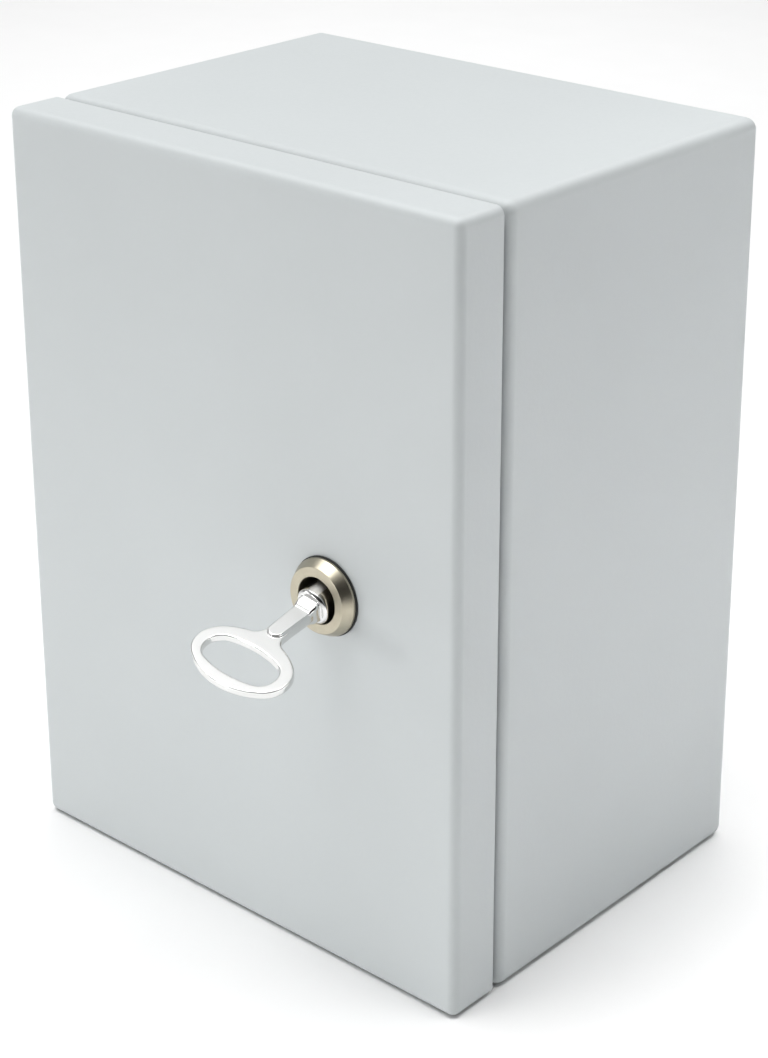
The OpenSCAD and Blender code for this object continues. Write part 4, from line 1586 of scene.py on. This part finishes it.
@dataclass(frozen=True)
class Studio:
    """Floor, light and camera of a plain product picture."""

    floor_z: float = -0.1502
    floor_half: float = 9.0
    camera_at: Triple = (570.7, -721.8, 371.3)
    azimuth: float = 41.8
    tilt: float = 20.7
    roll: float = -0.18
    lens: float = 81.256
    sensor: float = 36.0
    shift: float = -0.15
    sky: Pair = (0.3, 1.3)
    sky_band: Pair = (0.55, 0.95)
    dark_side: Triple = (0.83, -0.52, 0.2)
    dark_levels: Pair = (1.0, 0.05)
    dark_band: Pair = (0.2, 0.9)
    glow: Pair = (0.3, 0.0)
    glow_band: Pair = (0.0, 0.12)
    lights: tuple[SoftBox, ...] = (
        SoftBox("top_box", (-0.4, -0.45, 1.8), (0.0, -0.1, 0.0), 1.4, 19.5),
        SoftBox("back_top_box", (0.0, 0.9, 1.5), (0.0, 0.0, 0.15), 1.2, 5.0),
        SoftBox("front_left_box", (-1.5, -1.5, 0.3), (0.0, -0.17, -0.1), 1.0, 4.2),
        SoftBox("right_back_box", (1.5, 1.1, 0.2), (0.11, -0.07, -0.1), 1.0, 2.8),
        SoftBox("front_floor_box", (-0.15, -0.65, 1.2), (-0.15, -0.65, -0.15), 0.4, 0.7, 50.0),
        SoftBox("low_front_box", (-0.2, -0.9, -0.05), (0.1, -0.17, -0.14), 0.16, 0.17, 70.0),
        SoftBox("right_floor_box", (0.6, 0.05, 1.2), (0.6, 0.05, -0.15), 0.4, 1.8, 50.0),
        SoftBox("back_floor_box", (-1.1, 1.1, 1.6), (-1.0, 1.0, -0.15), 0.9, 2.8, 100.0),
    )

    def floor(self) -> None:
        """Lays a wide pale floor, a grid of two by two points."""
        side = np.array([-self.floor_half, self.floor_half]) / MM
        points = with_height(np.stack(np.meshgrid(side, side, indexing="ij"), -1), self.floor_z / MM)
        skin = Skin()
        skin.grid(Basis(), points, np.broadcast_to([0.0, 0.0, 1.0], points.shape), (False, False))
        piece = skin.build("studio_floor")
        piece.data.materials.append(FLOOR_PAINT.material())

    def light(self) -> None:
        """Hangs the soft boxes in a white tent of a sky.

        In the direction d the sky's strength is sky(d z) dark(d . dark_side) + glow(d z), each a smooth step:
        brightest overhead, dark where the camera stands, with a faint glow at the horizon.
        """
        for box in self.lights:
            box.build()
        sky = bpy.data.worlds.new("studio sky")
        sky.use_nodes = True
        tree = sky.node_tree
        way = add_node(tree, "TexCoord").outputs["Generated"]
        up = add_node(tree, "SeparateXYZ", None, None, {0: way}).outputs[2]
        near = add_node(tree, "VectorMath", {"operation": "DOT_PRODUCT"}, {1: self.dark_side},
                        {0: way}).outputs[1]
        steps = [add_node(tree, "MapRange", {"interpolation_type": "SMOOTHSTEP"},
                          dict(enumerate((*band, *levels), 1)), {0: along}).outputs[0]
                 for along, band, levels in ((up, self.sky_band, self.sky),
                                             (near, self.dark_band, self.dark_levels),
                                             (up, self.glow_band, self.glow))]
        level = add_node(tree, "Math", {"operation": "MULTIPLY_ADD"}, None, dict(enumerate(steps)))
        tree.links.new(level.outputs[0], tree.nodes["Background"].inputs["Strength"])
        tree.nodes["Background"].inputs["Color"].default_value = linear("#ffffff")
        bpy.context.scene.world = sky
        bpy.context.scene.view_settings.view_transform = "Standard"

    def camera(self) -> None:
        """Sets the camera at the photograph's viewing angle, shifted as a product camera's lens is."""
        a, e = math.radians(self.azimuth), math.radians(self.tilt)
        back = Vector((math.sin(a) * math.cos(e), -math.cos(a) * math.cos(e), math.sin(e)))
        right = Vector((math.cos(a), math.sin(a), 0))
        stand = Matrix((right, back.cross(right), back)).transposed()
        lens = bpy.data.cameras.new("camera")
        lens.lens = self.lens
        lens.sensor_width = self.sensor
        lens.shift_y = self.shift
        holder = bpy.data.objects.new("camera", lens)
        holder.matrix_world = (Matrix.Translation(Vector(self.camera_at) * MM) @ stand.to_4x4()
                               @ Matrix.Rotation(math.radians(self.roll), 4, "Z"))
        bpy.context.scene.collection.objects.link(holder)
        bpy.context.scene.camera = holder

    def build(self) -> None:
        """Sets up floor, light and camera."""
        self.floor()
        self.light()
        self.camera()


def main() -> None:
    """Builds every sub-assembly and the studio, in order."""
    logging.basicConfig(level=logging.INFO, format="%(name)s: %(message)s")
    Studio().build()
    for part in (BodyShell(), Hinges(), MountingPlate(), CableEntry(), EarthPoints(), DoorPan(), CamLock(),
                 DoubleBitKey()):
        part.build()


if __name__ == "__main__":
    main()
